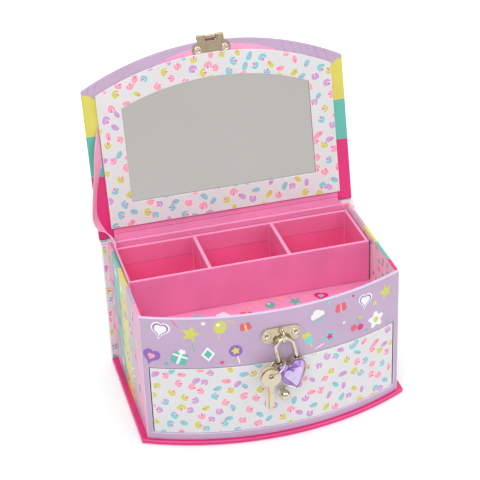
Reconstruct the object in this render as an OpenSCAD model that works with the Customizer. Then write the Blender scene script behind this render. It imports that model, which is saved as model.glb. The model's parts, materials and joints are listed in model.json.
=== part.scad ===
// Paper-covered vanity box with a mirror lid, a lift-out tray, a bow-fronted drawer and a heart padlock.
// Origin: on the resting plane, midway along the straight sides of the base board.
// +X is to the right, the bowed front looks along -Y, +Z is up. The lid stands open at rest.

/* [Cover boards] */
// Width of the base board and of the lid board
base_w = 200; // [180:1:230]
// Length of the straight sides of the base board
base_d = 108.6; // [95:0.2:125]
// How far the bowed front edge stands out past the corners
bow = 24.4; // [15:0.2:35]
// Thickness of the base board
base_t = 3.4; // [2.5:0.1:5]
// Thickness of the spine board
spine_t = 2.4; // [1.8:0.1:3]
// How far the top of the spine board stays below the rim of the body
spine_drop = 2.3; // [1.5:0.1:4]
// Thickness of the lid board
lid_t = 2.4; // [1.8:0.1:3.2]
// Clearance between the rim of the body and the closed lid
lid_gap = 0.3; // [0.2:0.05:0.8]
// How far the back edge of the closed lid stands behind the base board
lid_back = 3.5; // [2.5:0.1:4.5]
// How far the front edge of the closed lid stands out past the base board
lid_over = 1.6; // [0:0.1:3]

/* [Hinge] */
// Opening angle of the lid in its resting pose
lid_open = 102; // [90:1:110]
// Hinge line behind the back edge of the base board
hinge_back = 4.85; // [4.2:0.05:5.4]
// Hinge line below the rim of the body
hinge_drop = 2.1; // [1.6:0.05:2.6]
// Thickness of the hinge papers
paper_t = 0.4; // [0.3:0.05:0.6]
// Wall that shows at each side of the pink inner hinge paper
lining_margin = 4.4; // [3:0.1:12]
// How far the inner hinge paper reaches down the back wall
lining_drop = 14; // [6:0.5:30]
// How far the outer hinge paper reaches over the spine and the lid
hinge_overlap = 10; // [6:0.5:20]

/* [Body] */
// How far the base board and the lid board stand out at each side of the body
side_lip = 4.8; // [2:0.1:12]
// Height of the rim above the resting plane
body_top = 106.8; // [98:0.2:120]
// Thickness of the side walls and the back wall
wall = 2.4; // [1.8:0.1:3]
// Thickness of the bowed front frame
front_t = 2.4; // [1.8:0.1:3]
// How far the base board stands out in front of the body
front_lip = 2.6; // [1.5:0.1:6]
// Top of the drawer floor and of the rail below the drawer
rail_top = 9; // [7.5:0.1:12]
// Thickness of the board under the drawer
floor_t = 2.4; // [1.8:0.1:3]
// Width of the strips that carry the board under the drawer
spacer_w = 10; // [6:0.5:16]
// Top edge of the drawer opening
opening_top = 65.5; // [60:0.5:70]
// Width of the stiles beside the drawer opening
stile_w = 4.2; // [3.2:0.1:12]
// Height of the shelf's top face above the drawer opening
shelf_lift = 3.7; // [3.5:0.1:8]
// Thickness of the shelf
shelf_t = 2.4; // [1.8:0.1:2.6]

/* [Drawer] */
// Gap round the drawer front in its opening
drawer_gap = 0.7; // [0.4:0.05:1.5]
// Thickness of the bowed drawer front
drawer_front_t = 2.4; // [1.8:0.1:3.2]
// Thickness of the drawer's floor, sides and back
drawer_wall = 2; // [1.5:0.1:3]
// How far the drawer's sides and back stay below the top of its front
drawer_side_drop = 7.6; // [2:0.2:30]
// Space behind the closed drawer
drawer_back_gap = 6; // [2:0.5:20]
// Sliding clearance under the drawer
slide_gap = 0.2; // [0.1:0.05:0.4]
// How far the drawer front sits behind the face of the frame
drawer_inset = 0.3; // [0:0.1:1]

/* [Knob] */
// Height of the knob above the middle of the drawer opening
knob_lift = 2.25; // [-10:0.25:10]
// Diameter of the knob's head
knob_d = 8; // [6:0.2:12]
// How far the knob stands out
knob_l = 10.4; // [8:0.2:14]
// Diameter of the knob's neck
neck_d = 3.8; // [3.4:0.1:5]
// Diameter of the screw that holds the knob
screw_d = 2.4; // [1.8:0.1:2.6]

/* [Tray] */
// Gap between the lift-out tray and the walls beside it
tray_gap = 1.2; // [0.6:0.1:3]
// Gap behind the tray, where the hinge paper comes down the wall
tray_back_gap = 1.3; // [1:0.1:3]
// Depth of the tray, front to back
tray_d = 52; // [40:0.5:60]
// How far the rim of the tray stays below the rim of the body
tray_drop = 3.8; // [3:0.1:15]
// Thickness of the tray's outer walls
tray_wall = 2.4; // [1.6:0.1:3]
// Thickness of the tray's floor
tray_floor_t = 2; // [1.5:0.1:3]
// Thickness of the two dividers
divider_t = 3; // [1.6:0.1:4]
// Distance of each divider from the middle of the tray
divider_x = 30.2; // [20:0.2:40]

/* [Mirror] */
// Margin of the lid that shows beside the mirror frame
panel_side = 10; // [8:0.2:20]
// Margin of the lid behind the mirror frame, next to the hinge
panel_back = 7.7; // [7:0.1:12]
// Margin of the lid that shows past the bowed edge of the mirror frame
panel_lip = 8.4; // [7.5:0.1:14]
// Thickness of the mirror frame
panel_t = 2.4; // [1.6:0.1:2.8]
// Width of the frame border round the mirror
mirror_border = 18; // [12:0.5:26]
// Thickness of the mirror
mirror_t = 1.2; // [0.8:0.1:1.6]
// Gap round the mirror in its window
mirror_gap = 0.15; // [0.1:0.05:0.4]

/* [Hasp] */
// Length of the hasp plate and the latch plate
plate_l = 29; // [26:0.5:34]
// Width of the hasp plate and the latch plate
plate_w = 12; // [11:0.2:13]
// Thickness of the plates
plate_t = 0.8; // [0.6:0.1:1]
// Distance of each rivet from the middle of its plate
rivet_x = 10.4; // [9.4:0.1:11.5]
// Diameter of the rivet flanges
flange_d = 4; // [3.4:0.1:4.2]
// Diameter of the rivet tubes
rivet_d = 2.5; // [2:0.1:2.8]
// Diameter of the hole through each rivet
rivet_bore = 1.4; // [1:0.1:1.6]
// Height of the rivet flanges
flange_h = 0.5; // [0.3:0.05:0.6]
// Length of each knuckle of the hasp plate
knuckle_l = 5.8; // [4:0.1:6.5]
// Outer diameter of the knuckles of the hasp plate
knuckle_d = 4.6; // [4.2:0.1:5]
// Outer diameter of the knuckle of the hasp leaf
leaf_knuckle_d = 3.4; // [3.2:0.1:3.6]
// Diameter of the hasp pin
pin_d = 2; // [1.6:0.1:2.2]
// Running clearance round the pin
pin_gap = 0.05; // [0.02:0.01:0.1]
// Half the length of the middle knuckle, with its end play
mid_knuckle = 4.3; // [3.5:0.1:5]
// Width of the hasp leaf
leaf_w = 15; // [12:0.5:16]
// Length of the hasp leaf from the pin
leaf_l = 31; // [29:0.5:36]
// Thickness of the hasp leaf
leaf_t = 0.6; // [0.5:0.1:0.7]
// Width of the slot in the hasp leaf
slot_w = 3.2; // [2.6:0.1:4.5]
// Length of the slot in the hasp leaf
slot_l = 14; // [13:0.5:16]

/* [Latch] */
// How far the latch plate's middle is below the rim of the body
latch_drop = 19.3; // [14:0.1:23]
// Distance between the legs of the staple
staple_span = 11; // [10:0.5:13]
// Diameter of the staple's wire
staple_d = 1.8; // [1.4:0.1:2]
// Straight length of the staple's legs in front of the body
staple_leg = 2; // [1.5:0.1:3]

/* [Padlock] */
// Sideways lean of the hanging padlock
lean = 11; // [0:1:14]
// Distance between the legs of the shackle
shackle_span = 13; // [12.5:0.1:15]
// Diameter of the shackle's wire
shackle_d = 2.6; // [2:0.1:2.8]
// How far the shackle's middle hangs in front of the body
hang_y = 4; // [3.8:0.1:4.6]
// Length of the shackle that shows above the lock case
shackle_show = 17.5; // [16:0.5:20]
// Radius of the heart's two lobes
lobe_r = 5.9; // [5:0.1:7]
// Distance of each lobe's centre from the heart's middle line
lobe_x = 5.25; // [4.5:0.05:6]
// Distance from the lobes' centres down to the centre of the heart's rounded tip
tip_drop = 16.5; // [14:0.5:19]
// Radius of the heart's rounded tip
tip_r = 1.6; // [1:0.1:2.5]
// Thickness of the lock case
case_t = 5.4; // [4.5:0.1:6]
// Width of the metal rim round the gem
bezel_w = 1.1; // [0.8:0.1:1.6]
// Height of the metal rim
bezel_h = 0.8; // [0.5:0.1:1.2]
// Height of the gem above the lock case
gem_h = 2.2; // [1.2:0.1:3]
// Diameter of the key plug in the back of the lock
plug_d = 5; // [4:0.1:6]
// Running clearance round the shackle's legs in the lock case
leg_gap = 0.08; // [0.03:0.01:0.1]

/* [Keys] */
// Radius of the key ring, to the middle of its wire
ring_r = 7.25; // [7:0.05:7.5]
// Diameter of the key ring's wire
ring_d = 1.2; // [1:0.1:1.4]
// Diameter of the key's bow
key_bow_d = 14.4; // [12:0.2:16]
// Diameter of the hole in the key's bow
key_hole_d = 4; // [3.8:0.1:5]
// Length of the key from its hole to its tip
key_l = 29.4; // [24:0.2:36]
// Width of the key's blade
key_blade_w = 3.8; // [3:0.1:4.4]
// Thickness of the keys
key_t = 1.1; // [0.8:0.1:1.3]

/* [Ribbon] */
// Width of the ribbon stay
ribbon_w = 10; // [10:0.5:14]
// Thickness of the ribbon stay's solid
ribbon_t = 0.5; // [0.4:0.1:0.8]

/* [Hidden] */
$fn = 48;
arc_fn = 240;      // segments of the long bowed edges
closed_short = 0.5; // degrees short of flat at which the closed lid rests on the hasp's rivets
eps = 0.02;        // overshoot of cuts
film = 0.01;       // glue film between flat faces
glue = 0.05;       // glue line between curved faces
min_tip_r = 0.3;   // smallest radius of a heart's tip
seat = 0.2;        // glue and paper between small metal pieces
leg_in = [8, 4];   // how far the shackle's left and right leg go into the lock case

back_y = base_d / 2;
lid_d = base_d + lid_back + lid_over;
body_w = base_w - 2 * side_lip;
opening_w = body_w - 2 * stile_w;
front_r = (base_w * base_w / 4 + bow * bow) / (2 * bow);
bow_cy = back_y - base_d - bow + front_r;
body_r = front_r - front_lip;
inner_r = body_r - front_t;
inner_w = body_w - 2 * wall;
inner_back = back_y - wall;
face_y = bow_cy - body_r;
lining_w = inner_w - 2 * lining_margin;
shelf_top = opening_top + shelf_lift;
latch_z = body_top - latch_drop;

lid_z = body_top + lid_gap;
lid_back_y = back_y + lid_back;
lid_cy = lid_back_y - lid_d - bow + front_r;
hinge_y = back_y + hinge_back;
hinge_z = body_top - hinge_drop;
pin_v = lid_d + bow + knuckle_d / 2 + seat;
pin_w = knuckle_d / 2 - plate_t;
closed_lift = sin(closed_short) * (hinge_y - lid_back_y + pin_v);
panel_front_v = lid_d + bow - panel_lip;
hasp_v = panel_front_v + flange_d / 2 + seat;

drawer_w = opening_w - 2 * drawer_gap;
drawer_r = body_r - drawer_inset;
drawer_in_r = drawer_r - drawer_front_t;
drawer_z = rail_top + slide_gap;
drawer_side_h = opening_top - drawer_gap - drawer_side_drop - drawer_z;
knob_z = (rail_top + opening_top) / 2 + knob_lift;
drawer_back_y = inner_back - drawer_back_gap;
drawer_face_y = bow_cy - drawer_r;
knob_y = drawer_face_y - glue;
screw_depth = 5;   // how far the screw goes into the knob
washer_t = 0.6;
washer_y = bow_cy - drawer_in_r + glue;

tray_w = inner_w - 2 * tray_gap;
tray_z = shelf_top + slide_gap;
tray_top = body_top - tray_drop;
tray_back_y = inner_back - tray_back_gap;

staple_r = staple_span / 2;
hang_reach = staple_r - staple_d / 2 - shackle_d / 2 - 0.15;
hang_dy = hang_y - staple_leg;
hang_z = latch_z - sqrt(hang_reach * hang_reach - hang_dy * hang_dy);
case_y = case_t / 2;

// Centre, tilt and turn of the key ring, and the place of each key's hole
ring_place = [-5.96, face_y - hang_y - 3.96, hang_z - 19.27];
ring_tilt = -35;
ring_turn = -3.9;
key_front_place = [-11.12, face_y - hang_y - 7.25, hang_z - 23.87];
key_rear_place = [-12.08, face_y - hang_y - 5.77, hang_z - 22.07];
key_rear_swing = 3;

// Route of the ribbon stay's middle line, measured from the left edge of the base board, its back and the
// rim of the body, and the direction across the ribbon at each point. It leaves the edge of the mirror
// frame on a slant, hangs free beside the lid, turns on edge and goes down between wall and tray.
ribbon_route = [[9.4, 22.5, 71.2], [7.1, 18.6, 63.7], [5.1, 15.5, 56.2], [3.4, 13, 49.2],
    [1, 10.2, 39.2], [-0.9, 7.8, 28.7], [-1.6, 5.8, 18.7], [1, 3, 11.2], [6.1, -1, 6],
    [8.02, -12, 3.2], [7.85, -26, -1.3], [7.8, -42, -2], [7.8, -56, -2.8], [7.8, -68, -6.8]];
ribbon_across = [[0, -0.21, -0.98], [0.2, -0.05, -0.98], [0.4, 0.35, -0.85], [0.5, 0.75, -0.4],
    [0.45, 0.85, -0.3], [0.45, 0.85, -0.25], [0.5, 0.85, -0.15], [0.5, 0.8, -0.25], [0.35, 0.4, -0.8],
    [0, 0, -1], [0, 0, -1], [0, 0, -1], [0, 0, -1], [0, 0.3, -0.95]];

pink = "#E4538C";
hot_pink = "#E5267B";
pale_pink = "#F59AC4";
lavender = "#C9B2CE";
print_white = "#E4E3E3";
nickel = "#D8CDB4";

// A straight-sided outline with the box's bowed front, w wide, from back_edge to an arc of radius r
module bowed(w, back_edge, r, cy = bow_cy) {
    intersection() {
        translate([-w / 2, cy - r - 1])
            square([w, back_edge - cy + r + 1]);
        translate([0, cy])
            circle(r, $fn = arc_fn);
    }
}

// The strip between two bowed arcs, w wide
module bowed_strip(w, r_out, r_in) {
    difference() {
        bowed(w, back_y - base_d + bow, r_out);
        translate([0, bow_cy])
            circle(r_in, $fn = arc_fn);
    }
}

// A plate with round ends, l long along X and w wide, t thick along +Z
module obround(l, w, t) {
    linear_extrude(t) {
        square([l - w, w], center = true);
        for (side = [-1, 1])
            translate([side * (l - w) / 2, 0])
                circle(w / 2);
    }
}

// Places a closed lid's parts in the open resting pose
module on_lid() {
    translate([0, hinge_y, hinge_z])
        rotate([-lid_open, 0, 0])
            translate([0, -hinge_y, -hinge_z])
                children();
}

// A point of the open lid: v from the lid's back edge, w outwards from its inner face
function lid_point(v, w) =
    let (dy = lid_back_y - v - hinge_y, dz = lid_z + w - hinge_z)
    [hinge_y + dy * cos(lid_open) + dz * sin(lid_open), hinge_z - dy * sin(lid_open) + dz * cos(lid_open)];

function unit(p) = p / norm(p);

// The outline of a paper strip t thick that follows a line of points in the Y-Z plane
function strip_side(points, t) = [for (i = [0 : len(points) - 1])
    let (a = points[max(i - 1, 0)], b = points[min(i + 1, len(points) - 1)], d = unit(b - a))
    points[i] + t * [-d[1], d[0]]];
function strip(points, t) =
    let (side = strip_side(points, t), n = len(points))
    concat(points, [for (i = [0 : n - 1]) side[n - 1 - i]]);

module paper_strip(points, t, w) {
    rotate([90, 0, 90])
        translate([0, 0, -w / 2])
            linear_extrude(w)
                polygon(strip(points, t));
}

// Covers and hinge papers
module base_board() {
    color(hot_pink)
        linear_extrude(base_t)
            bowed(base_w, back_y, front_r);
}

module spine_board() {
    color(print_white)
        translate([-base_w / 2, back_y + glue, 0])
            cube([base_w, spine_t, body_top - spine_drop]);
}

module lid_board() {
    color(lavender)
        on_lid()
            difference() {
                translate([0, 0, lid_z])
                    linear_extrude(lid_t)
                        bowed(base_w, lid_back_y, front_r, lid_cy);
                for (side = [-1, 1])
                    translate([side * rivet_x, lid_back_y - hasp_v, lid_z - 1])
                        cylinder(d = rivet_d + 2 * glue, h = lid_t + 2);
            }
}

module hinge_paper() {
    spine_face = back_y + spine_t + 2 * glue + paper_t;
    lid_face = lid_t + glue + paper_t;
    color(print_white)
        paper_strip([
            [spine_face, hinge_z - hinge_overlap],
            [spine_face, hinge_z - 1.6],
            [spine_face + 0.6, hinge_z - 0.9],
            [spine_face + 3.2, hinge_z - 0.7],
            lid_point(-0.6, lid_t - 0.2),
            lid_point(-0.3, lid_face),
            lid_point(1, lid_face),
            lid_point(hinge_overlap, lid_face)
        ], paper_t, base_w);
}

module hinge_lining() {
    color(pale_pink)
        paper_strip([
            lid_point(panel_back - 0.4, -glue),
            lid_point(0.8, -glue),
            lid_point(-0.2, -0.6),
            [back_y + 4.6, body_top + 0.1],
            [back_y + 2.2, body_top - 0.6],
            [back_y + 0.6, body_top + glue],
            [inner_back + 0.4, body_top + glue],
            [inner_back - glue, body_top + glue],
            [inner_back - glue, body_top - 0.6],
            [inner_back - glue, body_top - lining_drop]
        ], -paper_t, lining_w);
}

// Body of the box
module back_wall() {
    color(pink)
        translate([-inner_w / 2, inner_back, base_t])
            cube([inner_w, wall, body_top - base_t]);
}

module side_wall(side) {
    translate([0, 0, base_t])
        linear_extrude(body_top - base_t)
            intersection() {
                bowed(body_w, back_y, inner_r - glue);
                translate([side * (body_w - wall) / 2, 0])
                    square([wall, 3 * base_d], center = true);
            }
}

module left_wall() {
    color("#66BDAE")
        side_wall(-1);
}

module right_wall() {
    color("#DDD566")
        side_wall(1);
}

// Holes along Y through the front frame, for the rivets and the staple
module front_holes() {
    for (side = [-1, 1])
        translate([side * rivet_x, face_y + 2 * front_t, latch_z])
            rotate([90, 0, 0])
                cylinder(d = rivet_d + 2 * glue, h = 4 * front_t);
    for (side = [-1, 1])
        translate([0, face_y + 2 * front_t, latch_z + side * staple_r])
            rotate([90, 0, 0])
                cylinder(d = staple_d + 2 * glue, h = 4 * front_t);
}

module front_frame() {
    color(lavender)
        difference() {
            translate([0, 0, base_t])
                linear_extrude(body_top - base_t)
                    bowed_strip(body_w, body_r, inner_r);
            translate([-opening_w / 2, face_y - 1, rail_top])
                cube([opening_w, base_d, opening_top - rail_top]);
            front_holes();
        }
}

module drawer_floor_board() {
    color(pale_pink)
        translate([0, 0, rail_top - floor_t])
            linear_extrude(floor_t)
                bowed(inner_w, inner_back, inner_r - glue);
}

module floor_spacers() {
    spacer_l = base_d - wall - bow / 2;
    color("#B9A58A")
        for (side = [-1, 1])
            translate([side * (inner_w - spacer_w) / 2 - spacer_w / 2, inner_back - spacer_l, base_t])
                cube([spacer_w, spacer_l, rail_top - floor_t - base_t]);
}

module shelf() {
    color(pale_pink)
        translate([0, 0, shelf_top - shelf_t])
            linear_extrude(shelf_t)
                bowed(inner_w, inner_back, inner_r - glue);
}

// Lift-out tray
module tray_long_wall(y) {
    color(pink)
        translate([-tray_w / 2, y, tray_z])
            cube([tray_w, tray_wall, tray_top - tray_z]);
}

module tray_front() {
    tray_long_wall(tray_back_y - tray_d);
}

module tray_back() {
    tray_long_wall(tray_back_y - tray_wall);
}

// A wall across the tray between its front and back, t thick, with its middle at x
module tray_cross_wall(x, t, z) {
    color(pink)
        translate([x - t / 2, tray_back_y - tray_d + tray_wall, z])
            cube([t, tray_d - 2 * tray_wall, tray_top - z]);
}

module tray_left() {
    tray_cross_wall(-(tray_w - tray_wall) / 2, tray_wall, tray_z);
}

module tray_right() {
    tray_cross_wall((tray_w - tray_wall) / 2, tray_wall, tray_z);
}

module tray_divider_left() {
    tray_cross_wall(-divider_x, divider_t, tray_z + tray_floor_t);
}

module tray_divider_right() {
    tray_cross_wall(divider_x, divider_t, tray_z + tray_floor_t);
}

module tray_floor() {
    color(pink)
        translate([-tray_w / 2 + tray_wall, tray_back_y - tray_d + tray_wall, tray_z])
            cube([tray_w - 2 * tray_wall, tray_d - 2 * tray_wall, tray_floor_t]);
}

// Drawer
module drawer_floor() {
    color(pale_pink)
        translate([0, 0, drawer_z])
            linear_extrude(drawer_wall)
                bowed(drawer_w, drawer_back_y, drawer_in_r - glue);
}

module drawer_side(side) {
    color(pale_pink)
        translate([0, 0, drawer_z + drawer_wall])
            linear_extrude(drawer_side_h - drawer_wall)
                intersection() {
                    bowed(drawer_w, drawer_back_y, drawer_in_r - glue);
                    translate([side * (drawer_w - drawer_wall) / 2, 0])
                        square([drawer_wall, 3 * base_d], center = true);
                }
}

module drawer_left() {
    drawer_side(-1);
}

module drawer_right() {
    drawer_side(1);
}

module drawer_back() {
    inside_w = drawer_w - 2 * drawer_wall;
    color(pale_pink)
        translate([-inside_w / 2, drawer_back_y - drawer_wall, drawer_z + drawer_wall])
            cube([inside_w, drawer_wall, drawer_side_h - drawer_wall]);
}

module drawer_front() {
    color(print_white)
        difference() {
            translate([0, 0, drawer_z])
                linear_extrude(opening_top - drawer_gap - drawer_z)
                    bowed_strip(drawer_w, drawer_r, drawer_in_r);
            translate([0, drawer_face_y + 3 * drawer_front_t, knob_z])
                rotate([90, 0, 0])
                    cylinder(d = screw_d + 2 * glue, h = 6 * drawer_front_t);
        }
}

// The knob's axis: children are turned about it and stand out along -Y
module on_knob_axis() {
    translate([0, knob_y, knob_z])
        rotate([90, 0, 0])
            children();
}

// A round head on a neck with a small foot
module drawer_knob() {
    head_r = knob_d / 2;
    head_h = 5;          // thickness of the head
    foot_h = 0.8;        // thickness of the foot
    foot_rim = 1.2;      // how far the foot stands out from the neck
    color(nickel)
        on_knob_axis()
            difference() {
                rotate_extrude() {
                    square([neck_d / 2, knob_l - head_h / 2]);
                    square([neck_d / 2 + foot_rim, foot_h]);
                    intersection() {
                        translate([0, knob_l - head_r])
                            circle(head_r);
                        translate([0, knob_l - head_h])
                            square([head_r, head_h]);
                    }
                }
                translate([0, 0, -eps])
                    cylinder(d = screw_d + 2 * glue, h = screw_depth + glue);
            }
}

module knob_washer() {
    color(nickel)
        translate([0, washer_y, knob_z])
            rotate([-90, 0, 0])
                difference() {
                    cylinder(d = 3.2 * screw_d, h = washer_t);
                    translate([0, 0, -eps])
                        cylinder(d = screw_d + 2 * glue, h = washer_t + 2 * eps);
                }
}

// A pan-head screw with a cross recess
module knob_screw() {
    head_h = 1.5;
    recess_w = 0.6;
    head_y = washer_y + washer_t;
    color(nickel)
        translate([0, head_y, knob_z]) {
            rotate([90, 0, 0])
                cylinder(d = screw_d, h = head_y - knob_y + screw_depth);
            rotate([-90, 0, 0])
                difference() {
                    cylinder(d1 = 2.2 * screw_d, d2 = 1.7 * screw_d, h = head_h);
                    for (turn = [0, 90])
                        rotate(turn)
                            translate([-screw_d / 2, -recess_w / 2, head_h / 2])
                                cube([screw_d, recess_w, head_h]);
                }
        }
}

// Mirror frame and mirror, inside the lid
module panel_outline(margin, gap) {
    bowed(base_w - 2 * (panel_side + margin + gap), lid_back_y - panel_back - margin - gap,
        front_r - panel_lip - margin - gap, lid_cy);
}

module mirror_frame() {
    color(print_white)
        on_lid()
            difference() {
                translate([0, 0, lid_z - panel_t - film])
                    linear_extrude(panel_t)
                        panel_outline(0, 0);
                translate([0, 0, lid_z - panel_t - 1])
                    linear_extrude(panel_t + 2)
                        panel_outline(mirror_border, 0);
                translate([0, lid_back_y - hasp_v, lid_z - plate_t - seat])
                    obround(plate_l + 2 * seat, plate_w + 2 * seat, plate_t + 1);
            }
}

module mirror() {
    color("#C4C1BE")
        on_lid()
            translate([0, 0, lid_z - mirror_t - film])
                linear_extrude(mirror_t)
                    panel_outline(mirror_border, mirror_gap);
}

// A hollow rivet along Z: a tube with a rounded flange at each end of a stack of height h
module rivet(h) {
    curl_r = flange_d / 2 - rivet_bore / 2;
    rotate_extrude()
        translate([rivet_bore / 2, 0]) {
            square([(rivet_d - rivet_bore) / 2, h]);
            for (end = [0, 1])
                intersection() {
                    translate([0, end * h])
                        circle(curl_r);
                    translate([0, end * h - (1 - end) * flange_h])
                        square([curl_r, flange_h]);
                }
        }
}

// Hasp on the lid
module hasp_plate() {
    pin_y = lid_back_y - pin_v;
    color(nickel)
        on_lid()
            difference() {
                union() {
                    translate([0, lid_back_y - hasp_v, lid_z - plate_t])
                        obround(plate_l, plate_w, plate_t);
                    for (side = [-1, 1])
                        translate([side * (mid_knuckle + knuckle_l / 2), pin_y, lid_z + pin_w]) {
                            rotate([0, 90, 0])
                                cylinder(d = knuckle_d, h = knuckle_l, center = true);
                            translate([-knuckle_l / 2, 0, -pin_w - plate_t])
                                cube([knuckle_l, pin_v - hasp_v - plate_w / 4, plate_t]);
                        }
                }
                for (side = [-1, 1]) {
                    translate([side * rivet_x, lid_back_y - hasp_v, lid_z - plate_t - 1])
                        cylinder(d = rivet_d + 2 * glue, h = plate_t + 2);
                }
                translate([0, pin_y, lid_z + pin_w])
                    rotate([0, 90, 0])
                        cylinder(d = pin_d + 2 * pin_gap, h = plate_l, center = true);
            }
}

module hasp_rivets() {
    color(nickel)
        on_lid()
            for (side = [-1, 1])
                translate([side * rivet_x, lid_back_y - hasp_v, lid_z - plate_t - glue])
                    rivet(plate_t + lid_t + 2 * glue);
}

module hasp_pin() {
    color(nickel)
        on_lid()
            translate([0, lid_back_y - pin_v, lid_z + pin_w])
                rotate([0, 90, 0])
                    cylinder(d = pin_d, h = 2 * (mid_knuckle + knuckle_l) + 0.6, center = true);
}

module hasp_leaf() {
    half = mid_knuckle - seat;
    leaf_w0 = leaf_knuckle_d / 2 - leaf_t;
    neck = knuckle_d / 2 + 0.8;
    color(nickel)
        on_lid()
            translate([0, lid_back_y - pin_v, lid_z + pin_w])
                difference() {
                    union() {
                        rotate([0, 90, 0])
                            cylinder(d = leaf_knuckle_d, h = 2 * half, center = true);
                        translate([-half, 0, leaf_w0])
                            cube([2 * half, neck + 1, leaf_t]);
                        translate([0, 0, leaf_w0])
                            linear_extrude(leaf_t) {
                                translate([-leaf_w / 2, neck])
                                    square([leaf_w, leaf_l - neck - leaf_w / 2]);
                                translate([0, leaf_l - leaf_w / 2])
                                    circle(leaf_w / 2);
                            }
                    }
                    rotate([0, 90, 0])
                        cylinder(d = pin_d + 2 * pin_gap, h = 3 * half, center = true);
                    translate([0, pin_w + lid_z + closed_lift - latch_z, leaf_w0 - 1])
                        rotate(90)
                            obround(slot_l, slot_w, leaf_t + 2);
                }
}

// Latch plate, its rivets and the staple, on the front of the body
module latch_plate() {
    rim = 1;
    rim_h = 0.4;
    color(nickel)
        difference() {
            intersection() {
                translate([0, 0, latch_z - plate_w])
                    linear_extrude(2 * plate_w)
                        bowed_strip(2 * plate_l, body_r + glue + plate_t + rim_h, body_r + glue);
                translate([0, face_y + 3, latch_z])
                    rotate([90, 0, 0])
                        obround(plate_l, plate_w, 6);
            }
            intersection() {
                translate([0, 0, latch_z - plate_w])
                    linear_extrude(2 * plate_w)
                        bowed_strip(2 * plate_l, body_r + 3, body_r + glue + plate_t);
                translate([0, face_y + 3, latch_z])
                    rotate([90, 0, 0])
                        obround(plate_l - 2 * rim, plate_w - 2 * rim, 8);
            }
            front_holes();
        }
}

module latch_rivets() {
    curve = body_r - sqrt(body_r * body_r - pow(rivet_x - flange_d / 2, 2));
    dip = body_r - sqrt(body_r * body_r - pow(rivet_x + flange_d / 2, 2));
    color(nickel)
        for (side = [-1, 1])
            translate([side * rivet_x, face_y + curve - plate_t - 2 * glue, latch_z])
                rotate([-90, 0, 0])
                    rivet(front_t + plate_t + dip - curve + 3 * glue);
}

module staple() {
    bend_y = face_y - staple_leg;
    end = 0.6;           // how far the staple's ends come through the frame
    leg_l = staple_leg + front_t + end;
    color(nickel) {
        for (side = [-1, 1])
            translate([0, bend_y + leg_l, latch_z + side * staple_r])
                rotate([90, 0, 0])
                    cylinder(d = staple_d, h = leg_l);
        translate([0, bend_y, latch_z])
            rotate([0, -90, 0])
                rotate([0, 0, 180])
                    rotate_extrude(angle = 180)
                        translate([staple_r, 0])
                            circle(d = staple_d, $fn = 24);
    }
}

// Padlock: children are placed with the top of the shackle's wire at their origin
module on_padlock() {
    translate([0, face_y - hang_y, hang_z])
        rotate([0, -lean, 0])
            children();
}

module shackle() {
    arch_r = shackle_span / 2;
    color(nickel)
        on_padlock()
            translate([0, 0, -arch_r]) {
                rotate([90, 0, 0])
                    rotate_extrude(angle = 180)
                        translate([arch_r, 0])
                            circle(d = shackle_d, $fn = 32);
                for (leg = [0, 1])
                    translate([(2 * leg - 1) * arch_r, 0, arch_r - shackle_show - leg_in[leg]])
                        cylinder(d = shackle_d, h = shackle_show + leg_in[leg] - arch_r);
            }
}

// The outline of a heart in the X-Y plane, its lobes' centres on the X axis, drawn in by inset on every
// side, with n sides to each lobe
function turned(c, r, a) = c + r * [cos(a), sin(a)];
function heart_points(inset, n) =
    let (
        r1 = lobe_r - inset,
        r2 = max(tip_r - inset, min_tip_r),
        normal = atan2(tip_drop, lobe_x) - acos((r2 - r1) / norm([lobe_x, tip_drop])),
        notch = acos(max(-lobe_x / r1, -1)),
        right = [for (i = [0 : n]) turned([lobe_x, 0], r1, notch + (normal - notch) * i / n)],
        tip = [for (i = [0 : 4]) turned([0, -tip_drop], r2, normal - (180 + 2 * normal) * i / 4)],
        left = [for (i = [0 : n]) [-right[n - i][0], right[n - i][1]]]
    )
    concat(right, tip, left);

module heart(inset = 0, n = 20) {
    polygon(heart_points(inset, n));
}

// Places a heart drawn in X-Y upright in the padlock, its back face at depth y behind the middle
module on_case(y) {
    on_padlock()
        translate([0, y, -shackle_show - lobe_r])
            rotate([90, 0, 0])
                children();
}

module lock_case() {
    color(nickel)
        difference() {
            on_case(case_y)
                difference() {
                    linear_extrude(case_t + bezel_h)
                        heart();
                    translate([0, 0, case_t])
                        linear_extrude(2 * bezel_h)
                            heart(bezel_w);
                    translate([0, -lobe_r / 2, -eps])
                        cylinder(d = plug_d + 0.2, h = 1.6);
                }
            on_padlock()
                for (leg = [0, 1])
                    translate([(leg - 0.5) * shackle_span, 0, -shackle_show - leg_in[leg] - 1])
                        cylinder(d = shackle_d + 2 * leg_gap, h = leg_in[leg] + 1 + lobe_r);
        }
}

module lock_gem() {
    girdle = 0.5;        // height of the gem's upright edge
    table = 0.7;         // size of its flat top against its girdle
    facets = 6;
    middle = tip_drop * 0.3;
    color("#A077C4")
        on_case(case_y)
            translate([0, -middle, case_t + glue]) {
                linear_extrude(girdle)
                    translate([0, middle])
                        heart(bezel_w + glue, facets);
                translate([0, 0, girdle])
                    linear_extrude(gem_h - girdle, scale = table)
                        translate([0, middle])
                            heart(bezel_w + glue, facets);
            }
}

module lock_plug() {
    color(nickel)
        on_case(case_y)
            translate([0, -lobe_r / 2, 0])
                difference() {
                    cylinder(d = plug_d, h = 1.5);
                    translate([-0.5, -plug_d * 0.36, -eps])
                        cube([1, plug_d * 0.72, 1.2]);
                }
}

// Key ring and keys
module key_ring() {
    color(nickel)
        translate(ring_place)
            rotate([0, ring_tilt, ring_turn])
                rotate_extrude($fn = 64)
                    translate([ring_r, 0])
                        circle(d = ring_d, $fn = 20);
}

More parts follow.
